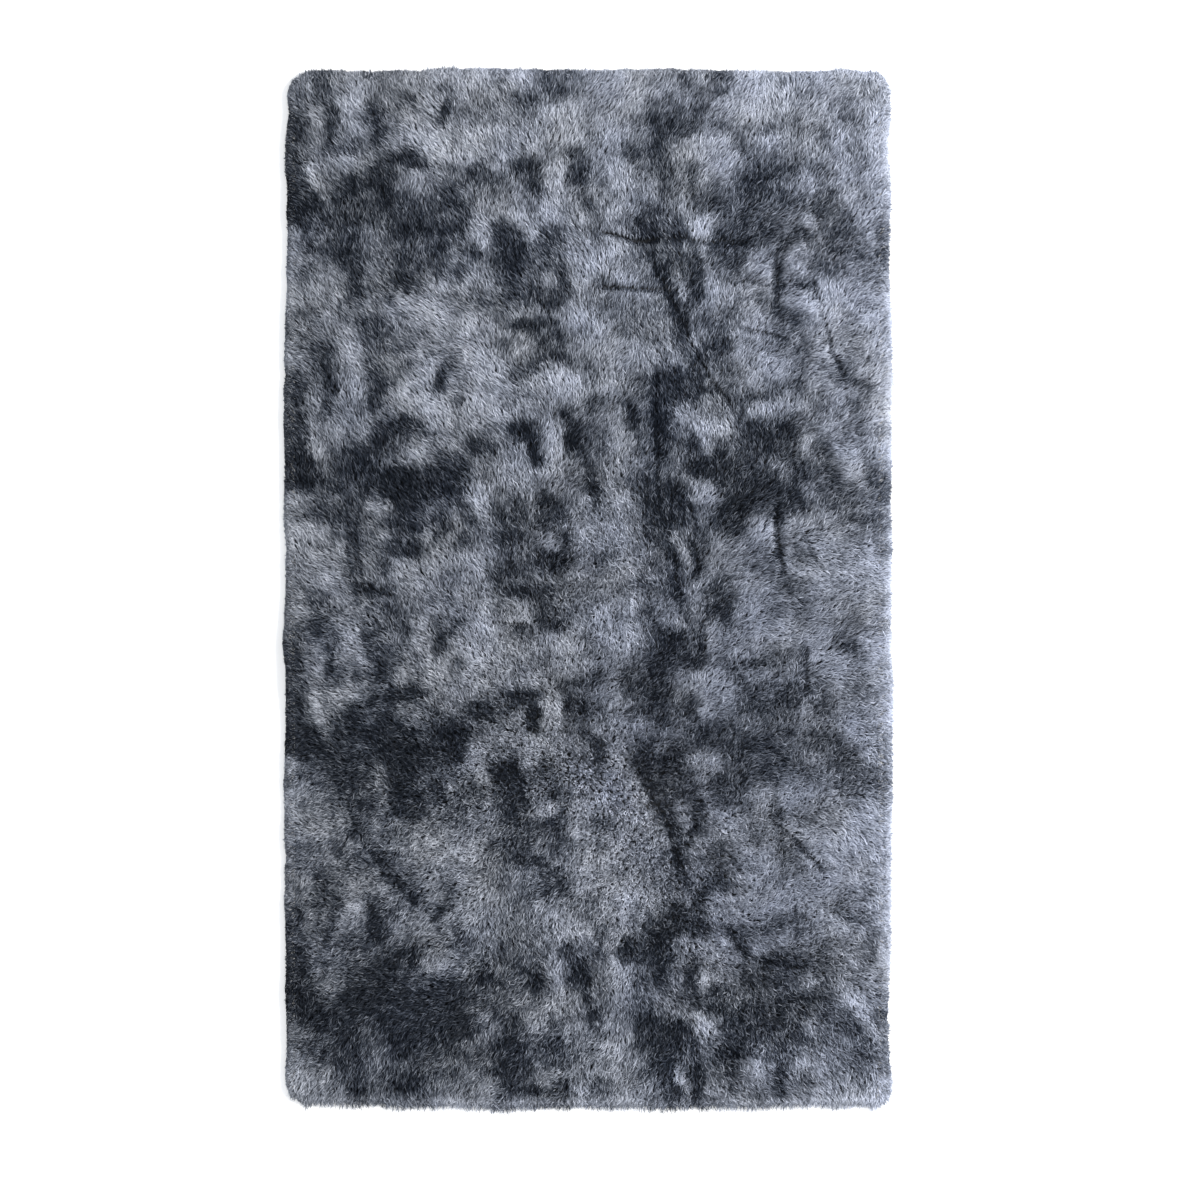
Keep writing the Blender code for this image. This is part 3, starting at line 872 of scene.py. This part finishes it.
    (-30.6, -10.2, 1.2, 3.3, 0, 0.26),
    (-27.7, -6.5, 2.9, 0.8, -10, 0.2),
    (-15.4, 2.6, 3.3, 2.9, 0, 0.26),
    (-12.7, -4.4, 2.9, 2.3, 0, -0.22),
    (-8.6, -5.2, 1.2, 2.5, 0, 0.26),
    (16.6, 97, 3.3, 3.7, 0, 0.22),
    (28.1, -1.1, 2.5, 3.7, 0, 0.24),
    (54, -11.8, 2.9, 1.8, 0, 0.26),
    (-52.3, -81, 2.5, 3.3, 0, -0.2),
]
PLAIN_DYE = 0.37
OVAL_FADE = (0.8, 1.8)  # how narrow an oval is, and how sharply it ends
WANDER = [
    # how far the patches' outlines wander, over what stretches, seeds across and up
    (0.0070, 0.040, 3, 4),
    (0.0055, 0.014, 7, 8),
]
STREAKS = [
    # depth, size, seed, how much shorter they are down than across
    (0.13, 0.034, 5, 1.8),
    (0.10, 0.015, 6, 0.6),
    (0.05, 0.007, 9, 1.0),
]

# %% The dye at each place
def laid_over(dye, x, y, chart):
    """The dye after each oval of the chart has been laid over it. Places are in metres."""
    for across, down, half_x, half_y, turn, depth in chart:
        angle = math.radians(turn)
        dx, dy = x - across * CM, y - down * CM
        along = (dx * math.cos(angle) - dy * math.sin(angle)) / (half_x * CM)
        over = (dx * math.sin(angle) + dy * math.cos(angle)) / (half_y * CM)
        weight = abs(depth) * np.exp(-OVAL_FADE[0] * (along * along + over * over) ** OVAL_FADE[1])
        dye = dye + weight * ((1.0 if depth > 0 else 0.0) - dye)
    return dye

def dye_and_painted_light_at(x, y):
    """How dark the dye is at each place, from 0 to 1, with the painted light and shade of the wide
    stretches.
    """
    wander_x, wander_y = wandered(x, y, WANDER)
    down = REPEAT_TOP - wander_y
    dye = np.full(x.shape, PLAIN_DYE)
    for turn in (-1, 0, 1):
        dye = laid_over(dye, wander_x, down % REPEAT + turn * REPEAT, DYE_CHART)
    dye = laid_over(dye, wander_x, wander_y, OWN_CHART)
    for depth, size, seed, stretch in STREAKS:
        dye = dye + depth * drift(x, y, size, seed, stretch)
    return np.clip(dye, 0.0, 1.0)

# %% [markdown]
# ## The way the pile falls
#
# Pile falls over the way it was last stroked. On this rug it falls outwards, away from the middle, and
# in the lower half it was ruffled. The chart names the way it falls at some places, as a turn from +X
# anticlockwise. In between, the nearest places count most. Swirls of two sizes are added, wider where
# the pile is ruffled.

# %% The chart of the fall
FALL_CHART = [
    # across cm, up cm, way in degrees
    (-50, 98, 105),
    (0, 98, 92),
    (48, 98, 70),
    (-58, 60, 130),
    (-44, 66, 118),
    (0, 66, 96),
    (30, 70, 86),
    (56, 62, 30),
    (-56, 20, 142),
    (-30, 25, 112),
    (0, 25, 95),
    (32, 30, 62),
    (58, 20, 8),
    (-57, -25, 165),
    (-28, -20, 120),
    (4, -18, 60),
    (34, -20, 45),
    (58, -22, 5),
    (-56, -62, 200),
    (-24, -58, 225),
    (4, -60, 262),
    (34, -58, 40),
    (58, -60, -12),
    (-52, -96, 236),
    (-20, -100, 262),
    (18, -100, 275),
    (50, -97, 312),
]
FALL_REACH = 0.17  # from a place of the chart to where it counts for much less
SWIRLS = [
    # size, seed, how far the way swings in smooth pile, and how much more in ruffled pile
    (0.110, 11, 0.50, 0.4),
    (0.040, 12, 0.42, 0.5),
]
RUFFLED_SPOT = {"x": 0.03, "y": 0.02, "half_x": 0.16, "half_y": 0.20}
RUFFLED_BELOW = 0.15  # up Y, where the clouds of ruffled pile begin
RUFFLED_FADE = 0.5  # over which they come in
CLOUD_SIZE = 0.130
CLOUD_SEED = 31
CLOUD_SHARE = 0.45  # how ruffled the clouds are on average, and how much they vary

# %% The fall at each place
def ruffle_at(x, y):
    """How ruffled and curly the pile is, from 0 to 1: in the middle, and in clouds over the lower half."""
    spot = RUFFLED_SPOT
    middle = np.exp(-(((x - spot["x"]) / spot["half_x"]) ** 2) - ((y - spot["y"]) / spot["half_y"]) ** 2)
    clouds = CLOUD_SHARE + CLOUD_SHARE * drift(x, y, CLOUD_SIZE, CLOUD_SEED)
    lower = np.clip((RUFFLED_BELOW - y) / RUFFLED_FADE, 0.0, 1.0) * clouds
    return np.clip(np.maximum(middle, lower), 0.0, 1.0)

def fall_at(x, y):
    """The way the pile falls, in radians, how well the places around agree on it, and how ruffled it is."""
    east, north, heard = np.zeros(x.shape), np.zeros(x.shape), np.zeros(x.shape)
    for across, up, way in FALL_CHART:
        away = (x - across * CM) ** 2 + (y - up * CM) ** 2
        weight = np.exp(-away / (2 * FALL_REACH**2))
        east += weight * math.cos(math.radians(way))
        north += weight * math.sin(math.radians(way))
        heard += weight
    agreed = np.clip(np.hypot(east, north) / heard, 0.0, 1.0)
    ruffled = ruffle_at(x, y)
    swirl = sum((smooth + more * ruffled) * drift(x, y, size, seed) for size, seed, smooth, more in SWIRLS)
    return np.arctan2(north, east) + swirl, agreed, ruffled

# %% [markdown]
# ## The locks
#
# The real rug has over a million fibres, in hundreds of thousands of locks. Each lock here is a narrow
# ribbon of a few triangles: it rises from a point in the cloth, bends over the way the pile falls, and
# ends in a point. So many are too many for objects of their own, so they are worked out together, as
# arrays, and joined into one mesh for each pass of the tufting machine. Each pass covers the whole
# rug, with its rows set between the rows of the others.
#
# Locks that grow close together cling together at their tips. So each lock finds the middle of its
# clump, and leans towards it more and more along its length.

# %% Where the locks grow
CLUMP_STEP = 0.0047
CLUMP_JITTER = 0.42  # of the step, either way
CLUMP_MARGIN = 0.1  # of clumps all round the rug
CLUMP_SEED = 77
ROOT_INSET = 0.003  # from the outline to the outermost roots
ROOT_SHIFT = (0.4, 0.2)  # from each pass to the next, as shares of the step
ROOT_JITTER = 0.4
ROOT_SEED = 100

def roots(number, step):
    """The roots of one pass: their places, and each one's column and row."""
    draw = np.random.default_rng(ROOT_SEED + number)
    columns = round((high.x - low.x) / step)
    rows = round((high.y - low.y) / step)
    column, row = np.meshgrid(np.arange(columns), np.arange(rows))
    column, row = column.ravel(), row.ravel()
    shift_x, shift_y = (number * ROOT_SHIFT[0]) % 1.0, (number * ROOT_SHIFT[1]) % 1.0
    jitter_x = draw.uniform(-ROOT_JITTER, ROOT_JITTER, column.size)
    jitter_y = draw.uniform(-ROOT_JITTER, ROOT_JITTER, row.size)
    x = low.x + (column + shift_x + jitter_x) * (high.x - low.x) / columns
    y = low.y + (row + shift_y + jitter_y) * (high.y - low.y) / rows
    held = past_edge(x, y)[0] < -ROOT_INSET
    return x[held], y[held], (column / columns)[held], (row / rows)[held], (1 / columns, 1 / rows)

def clump_middles(x, y):
    """The middle of the clump that each place belongs to: the nearest of a loose lattice of middles."""
    draw = np.random.default_rng(CLUMP_SEED)
    columns = int((high.x - low.x + 2 * CLUMP_MARGIN) / CLUMP_STEP) + 3
    rows = int((high.y - low.y + 2 * CLUMP_MARGIN) / CLUMP_STEP) + 3
    jitter_x = draw.uniform(-CLUMP_JITTER, CLUMP_JITTER, (rows, columns))
    jitter_y = draw.uniform(-CLUMP_JITTER, CLUMP_JITTER, (rows, columns))
    grid_x = (np.arange(columns) + jitter_x) * CLUMP_STEP + low.x - CLUMP_MARGIN
    grid_y = (np.arange(rows)[:, None] + jitter_y) * CLUMP_STEP + low.y - CLUMP_MARGIN
    column = np.clip(np.round((x - low.x + CLUMP_MARGIN) / CLUMP_STEP).astype(int), 1, columns - 2)
    row = np.clip(np.round((y - low.y + CLUMP_MARGIN) / CLUMP_STEP).astype(int), 1, rows - 2)
    best = np.full(x.shape, np.inf)
    middle_x, middle_y = x.copy(), y.copy()
    for step_x in (-1, 0, 1):
        for step_y in (-1, 0, 1):
            near_x, near_y = grid_x[row + step_y, column + step_x], grid_y[row + step_y, column + step_x]
            away = (near_x - x) ** 2 + (near_y - y) ** 2
            nearer = away < best
            best = np.where(nearer, away, best)
            middle_x, middle_y = np.where(nearer, near_x, middle_x), np.where(nearer, near_y, middle_y)
    return middle_x, middle_y

# %% [markdown]
# Each pass has its own kind of lock. The first is the under-pile, wide and upright, which only closes
# the gaps. Four passes of fine locks lie over it, each a little longer and flatter than the one before.
# The last is the loose wisps, with a second bend.

# %% The shape of the locks of each pass
LOCKS = [
    # pass, grid step, run over the cloth, share of the pile's height, width, cling, curl, bends
    ("pile_under", 0.00730, 0.017, 0.80, 0.0042, 0.05, 0.0000, 1),
    ("pile_first_pass", 0.00530, 0.017, 0.90, 0.0022, 0.40, 0.0012, 1),
    ("pile_second_pass", 0.00530, 0.017, 0.95, 0.0020, 0.48, 0.0016, 1),
    ("pile_third_pass", 0.00530, 0.017, 0.99, 0.0019, 0.52, 0.0018, 1),
    ("pile_fourth_pass", 0.00530, 0.018, 1.03, 0.0018, 0.55, 0.0020, 1),
    ("pile_wisps", 0.01050, 0.022, 1.08, 0.0016, 0.30, 0.0040, 2),
]
BENDS = {
    # share of the length, of the run, of the rise and of the width, at each bend
    1: [(0.62, 0.45, 0.90, 1.00)],
    2: [(0.45, 0.26, 0.70, 0.95), (0.75, 0.62, 0.95, 1.00)],
}
ROOT_HEIGHT = 0.0010
LEAST_HEIGHT = 0.0012
TIP_UNEVEN = 0.0016  # how unevenly high the tips end
CREST_AT = 0.5  # the share of its run at which a lock stands highest
FOLD_DROP = 0.45  # of the pile's height, at the bottom of the deepest fold
# painted shade: along a fold the locks' colour is painted darker
FOLD_SHADE = 0.42  # towards dark, there

# %% [markdown]
# No two locks lie alike. Each clump has its own turn and its own tone, and each lock varies a little from
# its clump. Where the pile is ruffled, or where the ways around a place disagree, the locks spread more,
# curl more and lie shorter. Near the rim they turn outwards.

# %% How unevenly the locks lie
LOCK_SEED = 200
CLUMP_TURN_WAVE = (9100.0, 7300.0)  # waves so short that each clump falls anywhere on them
CLUMP_TONE_WAVE = (8300.0, -6100.0)
CLUMP_TURN = 0.20  # radians
LOCK_TURN = 0.11
LAST_TURN = 0.10  # after the turn outwards at the rim
CROSSED_SPREAD = 5.0  # where the ways around disagree
RUFFLED_SPREAD = 1.1
RIM_REACH = 0.034  # how far in from the outline the pile turns outwards
RIM_TURN = 0.85  # how fully it has turned at the outline
RUN_RANGE = (0.72, 1.18)
CROSSED_RUN = 0.45  # of its run, where the ways around disagree wholly
RUFFLED_RUN = 0.22  # taken off where the pile is ruffled
RUFFLED_CURL = 1.6
CLING_UNEVEN = 0.12
MOST_CLING = 0.85
CLING_CURVE = 1.3  # a lock clings more towards its tip
SLACK = {"least": 0.1, "more": 1.3, "curve": 1.5}  # of the lip: few locks reach far past the rim
BEND_SLACK = 0.5  # a bend may reach this much less of the lip than its tip
TUFTS = 0.8  # how unevenly the clumps at the rim reach past it
ROLL_UNEVEN = 0.50
MOST_ROLL = 1.1
WIDTH_RANGE = (0.75, 1.25)
SEEN_AT = 0.6  # along a lock, where its dye is read
LOCK_TONES = 1.85
CLUMP_TONES = 0.60
TONE_SHARES = {"all": 0.84, "ruffled": 0.26, "right": 0.18}  # livelier where ruffled and to the right

def standing(x, y, share):
    """How high the pile stands, with its folds."""
    return pile_height(x, y) * share * (1.0 - FOLD_DROP * fold_at(x, y))

def lock_points(number, step, run, share, width, cling, curl, bends):
    """The points of all the locks of one pass, with what the finish needs to know of each lock."""
    draw = np.random.default_rng(LOCK_SEED + number)
    x, y, column, row, cell = roots(number, step)
    count = x.size
    middle_x, middle_y = clump_middles(x, y)
    way, agreed, ruffled = fall_at(middle_x, middle_y)
    own = np.sin(middle_x * CLUMP_TURN_WAVE[0] + middle_y * CLUMP_TURN_WAVE[1])
    spread = 1.0 + CROSSED_SPREAD * (1.0 - agreed) + RUFFLED_SPREAD * ruffled
    way = way + spread * (CLUMP_TURN * own + draw.normal(0.0, LOCK_TURN, count))
    past, out_x, out_y = past_edge(x, y)
    outwards = RIM_TURN * np.clip(1.0 + past / RIM_REACH, 0.0, 1.0)
    way = np.arctan2(
        np.sin(way) * (1.0 - outwards) + out_y * outwards,
        np.cos(way) * (1.0 - outwards) + out_x * outwards,
    )
    way = way + draw.normal(0.0, LAST_TURN, count)
    agreed_run = CROSSED_RUN + (1.0 - CROSSED_RUN) * agreed
    reach = run * draw.uniform(*RUN_RANGE, count) * agreed_run * (1.0 - RUFFLED_RUN * ruffled)
    dir_x, dir_y = np.cos(way), np.sin(way)
    bow = curl * (1.0 + RUFFLED_CURL * ruffled) * draw.normal(0.0, 1.0, count)
    hold = np.clip(cling + draw.normal(0.0, CLING_UNEVEN, count), 0.0, MOST_CLING)
    slack = SLACK["least"] + SLACK["more"] * draw.uniform(0.0, 1.0, count) ** SLACK["curve"]
    slack = slack * (1.0 + TUFTS * own)
    reach = reach * held_at_fold(x, y, x + dir_x * reach, y + dir_y * reach)
    tip_x = x + dir_x * reach + hold * (middle_x - x)
    tip_y = y + dir_y * reach + hold * (middle_y - y)
    tip_x, tip_y = held_in(tip_x, tip_y, slack)
    crest = standing(x + CREST_AT * dir_x * reach, y + CREST_AT * dir_y * reach, share)
    tip_z = standing(tip_x, tip_y, share) + draw.normal(0.0, TIP_UNEVEN, count)
    crest = np.maximum(crest, tip_z)
    roll = np.clip(draw.normal(0.0, ROLL_UNEVEN, count), -MOST_ROLL, MOST_ROLL)
    half = 0.5 * width * draw.uniform(*WIDTH_RANGE, count)
    points = np.zeros((count, 2 * bends + 2, 3))
    points[:, 0] = np.stack([x, y, np.full(count, ROOT_HEIGHT)], 1)
    points[:, -1] = np.stack([tip_x, tip_y, tip_z], 1)
    for bend, (length, run_share, rise, width_share) in enumerate(BENDS[bends]):
        lean = hold * length**CLING_CURVE
        sway = bow * math.sin(math.pi * length)
        centre_x = x + dir_x * reach * run_share - dir_y * sway + lean * (middle_x - x)
        centre_y = y + dir_y * reach * run_share + dir_x * sway + lean * (middle_y - y)
        centre_x, centre_y = held_in(centre_x, centre_y, slack * length - BEND_SLACK)
        top = crest + (tip_z - crest) * length**3
        centre_z = ROOT_HEIGHT + (top - ROOT_HEIGHT) * rise
        side = np.stack([-dir_y * np.cos(roll), dir_x * np.cos(roll), np.sin(roll)], 1)
        side *= (half * width_share)[:, None]
        centre = np.stack([centre_x, centre_y, centre_z], 1)
        points[:, 2 * bend + 1] = centre - side
        points[:, 2 * bend + 2] = centre + side
    points[:, :, 2] = np.maximum(points[:, :, 2], LEAST_HEIGHT)
    seen_x, seen_y = x + SEEN_AT * (tip_x - x), y + SEEN_AT * (tip_y - y)
    clump_tone = np.sin(middle_x * CLUMP_TONE_WAVE[0] + middle_y * CLUMP_TONE_WAVE[1])
    tone = draw.uniform(-LOCK_TONES, LOCK_TONES, count) + CLUMP_TONES * clump_tone
    tone = tone * (TONE_SHARES["all"] + TONE_SHARES["ruffled"] * ruffled + TONE_SHARES["right"] * x)
    # The dye read here gets painted shade along the folds, and painted light at the tips by the rim.
    shade = dye_and_painted_light_at(seen_x, seen_y) + FOLD_SHADE * fold_at(seen_x, seen_y) - painted_tip_light_at(tip_x, tip_y)
    return points, shade, tone, column, row, cell

# %% [markdown]
# A lock has two points at each bend, one at its root and one at its tip. The mesh keeps four things of
# each point: its place, its lock's dye and tone, and how far along its lock it is. The dye holds painted
# shade and painted light as well: darker along the folds and on the rim's lower tiers, paler in wide
# stretches and at the tips by the rim. The bake map gives each lock a cell of its own, in rows and columns
# as the locks grow.

# %% One pass as one mesh
BAKE_CELL = (0.10, 0.80)  # where a lock begins in its cell, and how much of the cell it takes up

def pass_mesh(name, points, dye, tone, column, row, cell, bends):
    """The locks of one pass as one piece, with the attributes and the bake map that it needs."""
    count, corners = points.shape[:2]
    one = [(0, 1, 2)]
    for bend in range(1, bends):
        right, left = 2 * bend - 1, 2 * bend
        one += [(right, right + 2, left + 2), (right, left + 2, left)]
    one.append((2 * bends - 1, 2 * bends + 1, 2 * bends))
    along = [0.0] + [length for length, *_ in BENDS[bends] for side in (0, 1)] + [1.0]
    across = [0.5] + [side for bend in range(bends) for side in (0.0, 1.0)] + [0.5]
    faces = (np.arange(count)[:, None, None] * corners + np.array(one)).reshape(-1, 3)
    mesh = bpy.data.meshes.new(name)
    mesh.vertices.add(count * corners)
    mesh.vertices.foreach_set("co", points.astype(np.float32).ravel())
    mesh.loops.add(faces.size)
    mesh.loops.foreach_set("vertex_index", faces.astype(np.int32).ravel())
    mesh.polygons.add(len(faces))
    mesh.polygons.foreach_set("loop_start", np.arange(0, faces.size, 3, dtype=np.int32))
    mesh.update(calc_edges=True)
    notes = {
        "dye": np.repeat(dye, corners),
        "tone": np.repeat(tone, corners),
        "along": np.tile(along, count),
    }
    for title, values in notes.items():
        mesh.attributes.new(title, "FLOAT", "POINT").data.foreach_set("value", values.astype(np.float32))
    u = (column[:, None] + (BAKE_CELL[0] + BAKE_CELL[1] * np.array(along)) * cell[0]).ravel()
    v = (row[:, None] + (BAKE_CELL[0] + BAKE_CELL[1] * np.array(across)) * cell[1]).ravel()
    spots = np.stack([u, v], 1)[faces.ravel()]
    mesh.uv_layers.new(name="OFBake").data.foreach_set("uv", spots.astype(np.float32).ravel())
    mesh.shade_smooth()
    piece = bpy.data.objects.new(name, mesh)
    bpy.context.scene.collection.objects.link(piece)
    print(name, count, "locks", len(faces), "triangles")
    return piece

# %% The six passes
pile = []
for number, (name, *shape, bends) in enumerate(LOCKS):
    pile.append(pass_mesh(name, *lock_points(number, *shape, bends), bends))

# %% [markdown]
# ## The rim
#
# Seen from the side, the rug's edge is a soft bank of pile that falls to the floor. It gets locks of its
# own, in three tiers one above another. The lower tiers are painted darker: painted shade under the tiers
# above. They grow a little inside the outline and fall straight out over it. The outline is walked once in
# small steps, and each lock takes its place from that walk.

# %% The locks of the rim
RIM_TIERS = [
    # tier, locks, inset of the roots, height of the bend and of the tip as shares of the pile's, lip,
    # painted shade
    ("low", 8000, 0.007, 0.45, 0.12, 0.5, 0.26),
    ("middle", 9500, 0.012, 0.74, 0.32, 0.8, 0.14),
    ("high", 10000, 0.018, 1.00, 0.62, 1.0, 0.00),
]
RIM_SEED = 400
RIM_START = 0.02  # from the corner's and side's plain line outwards, before it is drawn back to the edge
RIM_INSET_RANGE = (0.5, 1.5)
RIM_WIDTH = 0.0014
RIM_WIDTH_RANGE = (0.7, 1.3)
RIM_SPREAD = 0.55
RIM_ROLL = 0.60
RIM_LIP = {"most": 1.5, "curve": 1.5, "slack": 1.4}
RIM_BEND_AT = 0.58  # of the way from root to tip
RIM_BEND_RANGE = (0.85, 1.06)  # of the tier's height
RIM_TIP_RANGE = (0.3, 1.4)
# painted light: the share of the tips' painted paling that the rim's locks take
RIM_PAINTED_LIGHT = 0.5
RIM_TONES = 2.3
RIM_TONE_DRIFT = (1.2, 0.009, 45)  # how far tones drift along the rim, over what stretches, seed
CORNER_STEP = 5  # degrees

def outline_walk():
    """Points round the outline, each with its way out, and how far along the walk it is."""
    spots = []
    for (side_x, side_y), start in (((1, -1), -90), ((1, 1), 0), ((-1, 1), 90), ((-1, -1), 180)):
        radius = CORNER_RADII[(side_x, side_y)]
        for turn in range(0, 91, CORNER_STEP):
            angle = math.radians(start + turn)
            centre_x = MIDDLE[0] + side_x * (HALF[0] - radius)
            centre_y = MIDDLE[1] + side_y * (HALF[1] - radius)
            spots.append((centre_x + radius * math.cos(angle), centre_y + radius * math.sin(angle), angle))
    spots.append((*spots[0][:2], spots[0][2] + 2 * math.pi))
    spots = np.array(spots)
    steps = np.hypot(np.diff(spots[:, 0]), np.diff(spots[:, 1]))
    return spots, np.concatenate([[0.0], np.cumsum(steps)])

def rim_points():
    """The points of all the locks of the rim, with the dye of each lock, painted shade and painted light
    put in it, and its tone.
    """
    draw = np.random.default_rng(RIM_SEED)
    spots, walked = outline_walk()
    parts, dyes_with_painted_light, tones = [], [], []
    for _, count, inset, bend_share, tip_share, lip_share, shade in RIM_TIERS:
        way = (np.arange(count) + draw.uniform(-0.5, 0.5, count)) / count % 1.0 * walked[-1]
        edge_x, edge_y, angle = (np.interp(way, walked, spots[:, column]) for column in range(3))
        out_x, out_y = np.cos(angle), np.sin(angle)
        edge_x, edge_y = held_in(edge_x + out_x * RIM_START, edge_y + out_y * RIM_START, 0.0)
        inset = inset * draw.uniform(*RIM_INSET_RANGE, count)
        x, y = edge_x - out_x * inset, edge_y - out_y * inset
        turned = angle + draw.normal(0.0, RIM_SPREAD, count)
        dir_x, dir_y = np.cos(turned), np.sin(turned)
        past_lip = draw.uniform(0.0, 1.0, count) ** RIM_LIP["curve"] * RIM_LIP["most"]
        reach = inset + lip(out_x, out_y) * lip_share * past_lip
        tip_x, tip_y = held_in(x + dir_x * reach, y + dir_y * reach, RIM_LIP["slack"])
        centre_x, centre_y = x + RIM_BEND_AT * (tip_x - x), y + RIM_BEND_AT * (tip_y - y)
        centre_z = pile_height(centre_x, centre_y) * bend_share * draw.uniform(*RIM_BEND_RANGE, count)
        tip_z = pile_height(tip_x, tip_y) * tip_share * draw.uniform(*RIM_TIP_RANGE, count)
        roll = np.clip(draw.normal(0.0, RIM_ROLL, count), -MOST_ROLL, MOST_ROLL)
        half = 0.5 * RIM_WIDTH * draw.uniform(*RIM_WIDTH_RANGE, count)
        side = np.stack([-dir_y * np.cos(roll), dir_x * np.cos(roll), np.sin(roll)], 1) * half[:, None]
        centre = np.stack([centre_x, centre_y, centre_z], 1)
        points = np.zeros((count, 4, 3))
        points[:, 0] = np.stack([x, y, np.full(count, ROOT_HEIGHT)], 1)
        points[:, 1] = centre - side
        points[:, 2] = centre + side
        points[:, 3] = np.stack([tip_x, tip_y, tip_z], 1)
        points[:, :, 2] = np.maximum(points[:, :, 2], LEAST_HEIGHT)
        parts.append(points)
        # Lower tiers get painted shade on their dye, and the tips painted light from the floor.
        dyes_with_painted_light.append(dye_and_painted_light_at(x, y) + shade - RIM_PAINTED_LIGHT * painted_tip_light_at(tip_x, tip_y))
        swing, size, seed = RIM_TONE_DRIFT
        tones.append(draw.uniform(-RIM_TONES, RIM_TONES, count) + swing * drift(tip_x, tip_y, size, seed))
    return np.concatenate(parts), np.concatenate(dyes_with_painted_light), np.concatenate(tones)

# %% The rim as one mesh
points, dye, tone = rim_points()
cells = math.ceil(math.sqrt(len(points)))
order = np.arange(len(points))
column, row = order % cells / cells, order // cells / cells
pile.append(pass_mesh("pile_rim", points, dye, tone, column, row, (1 / cells, 1 / cells), 1))
print("the pile in all:", sum(len(piece.data.polygons) for piece in pile), "triangles")

# %% [markdown]
# ## The pile's finish
#
# The fibre is a soft synthetic with a faint silky sheen. Its colour follows the dye, from a pale
# lavender grey, through slate, to a near black. No two locks take the dye alike, a lock is painted darker
# towards its root, as painted shade deep in the pile, and the whole rug is tinted in soft clouds, a little
# warmer to the left.

# %% The pile's colours
DYE_COLOURS = [
    # dye, colour
    (0.00, (0.572, 0.614, 0.742)),
    (0.22, (0.348, 0.379, 0.463)),
    (0.46, (0.158, 0.177, 0.224)),
    (0.72, (0.0375, 0.0466, 0.068)),
    (1.00, (0.0046, 0.0076, 0.0145)),
]
UNEVEN_DYE = (0.07, 0.14)  # how far a lock's tone moves its dye, and how much more in dark pile
CLOUDS = {"Scale": 9.0, "Detail": 3.0}
WARM_TO_COOL = 0.25  # more of the cool tint for each metre to the right
TINTS = [(0.30, (1.00, 0.980, 0.912)), (0.70, (0.970, 0.980, 0.990))]
# painted shade: a lock's colour is painted darker towards its root, where the pile is deep
ROOT_SHADE = 0.76  # how much darker a lock is at its root
# where the painted root shade ends, a little short of the tip
TIP_LIGHT = 1.05
FIBRE_ROUGHNESS = 0.55
GLOSS = {"Sheen Weight": 0.08, "Sheen Roughness": 0.45, "Specular IOR Level": 0.10}

# %% The pile's material
fibre = Finish("shag fibre", FIBRE_ROUGHNESS)
# The dye attribute is the dye with painted shade and painted light in it.
dye = fibre.node("ShaderNodeAttribute", {"attribute_name": "dye"}, out=2)
tone = fibre.node("ShaderNodeAttribute", {"attribute_name": "tone"}, out=2)
along = fibre.node("ShaderNodeAttribute", {"attribute_name": "along"}, out=2)
colour = fibre.ramp(dye + tone * (dye * UNEVEN_DYE[1] + UNEVEN_DYE[0]), DYE_COLOURS)
place = fibre.node("ShaderNodeTexCoord", out=3)
clouds = fibre.node("ShaderNodeTexNoise", inputs={"Vector": place, **CLOUDS}, out=0)
right = fibre.node("ShaderNodeSeparateXYZ", inputs={"Vector": place}, out=0)
tint = fibre.ramp(clouds + right * WARM_TO_COOL, TINTS)
tinted = fibre.mix(1.0, colour, tint, blend="MULTIPLY")
# painted shade: the colour darkens towards each lock's root
with_painted_root_shade = fibre.mix(TIP_LIGHT - (1.0 - along) * ROOT_SHADE, (0.0, 0.0, 0.0, 1.0), tinted)
fibre.set("Base Color", with_painted_root_shade)
for name, amount in GLOSS.items():
    fibre.set(name, amount)
for piece in pile:
    piece.data.materials.append(fibre.material)
print("the pile has", len(DYE_COLOURS), "colours of dye")

# %% [markdown]
# ## Handing over
#
# The pile stands for the solid, and rides with the rug's one body. The base cloth rides with it.

# %% Handing over
for piece in [cloth, *pile]:
    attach(piece, "root")
    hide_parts("shag_pile")
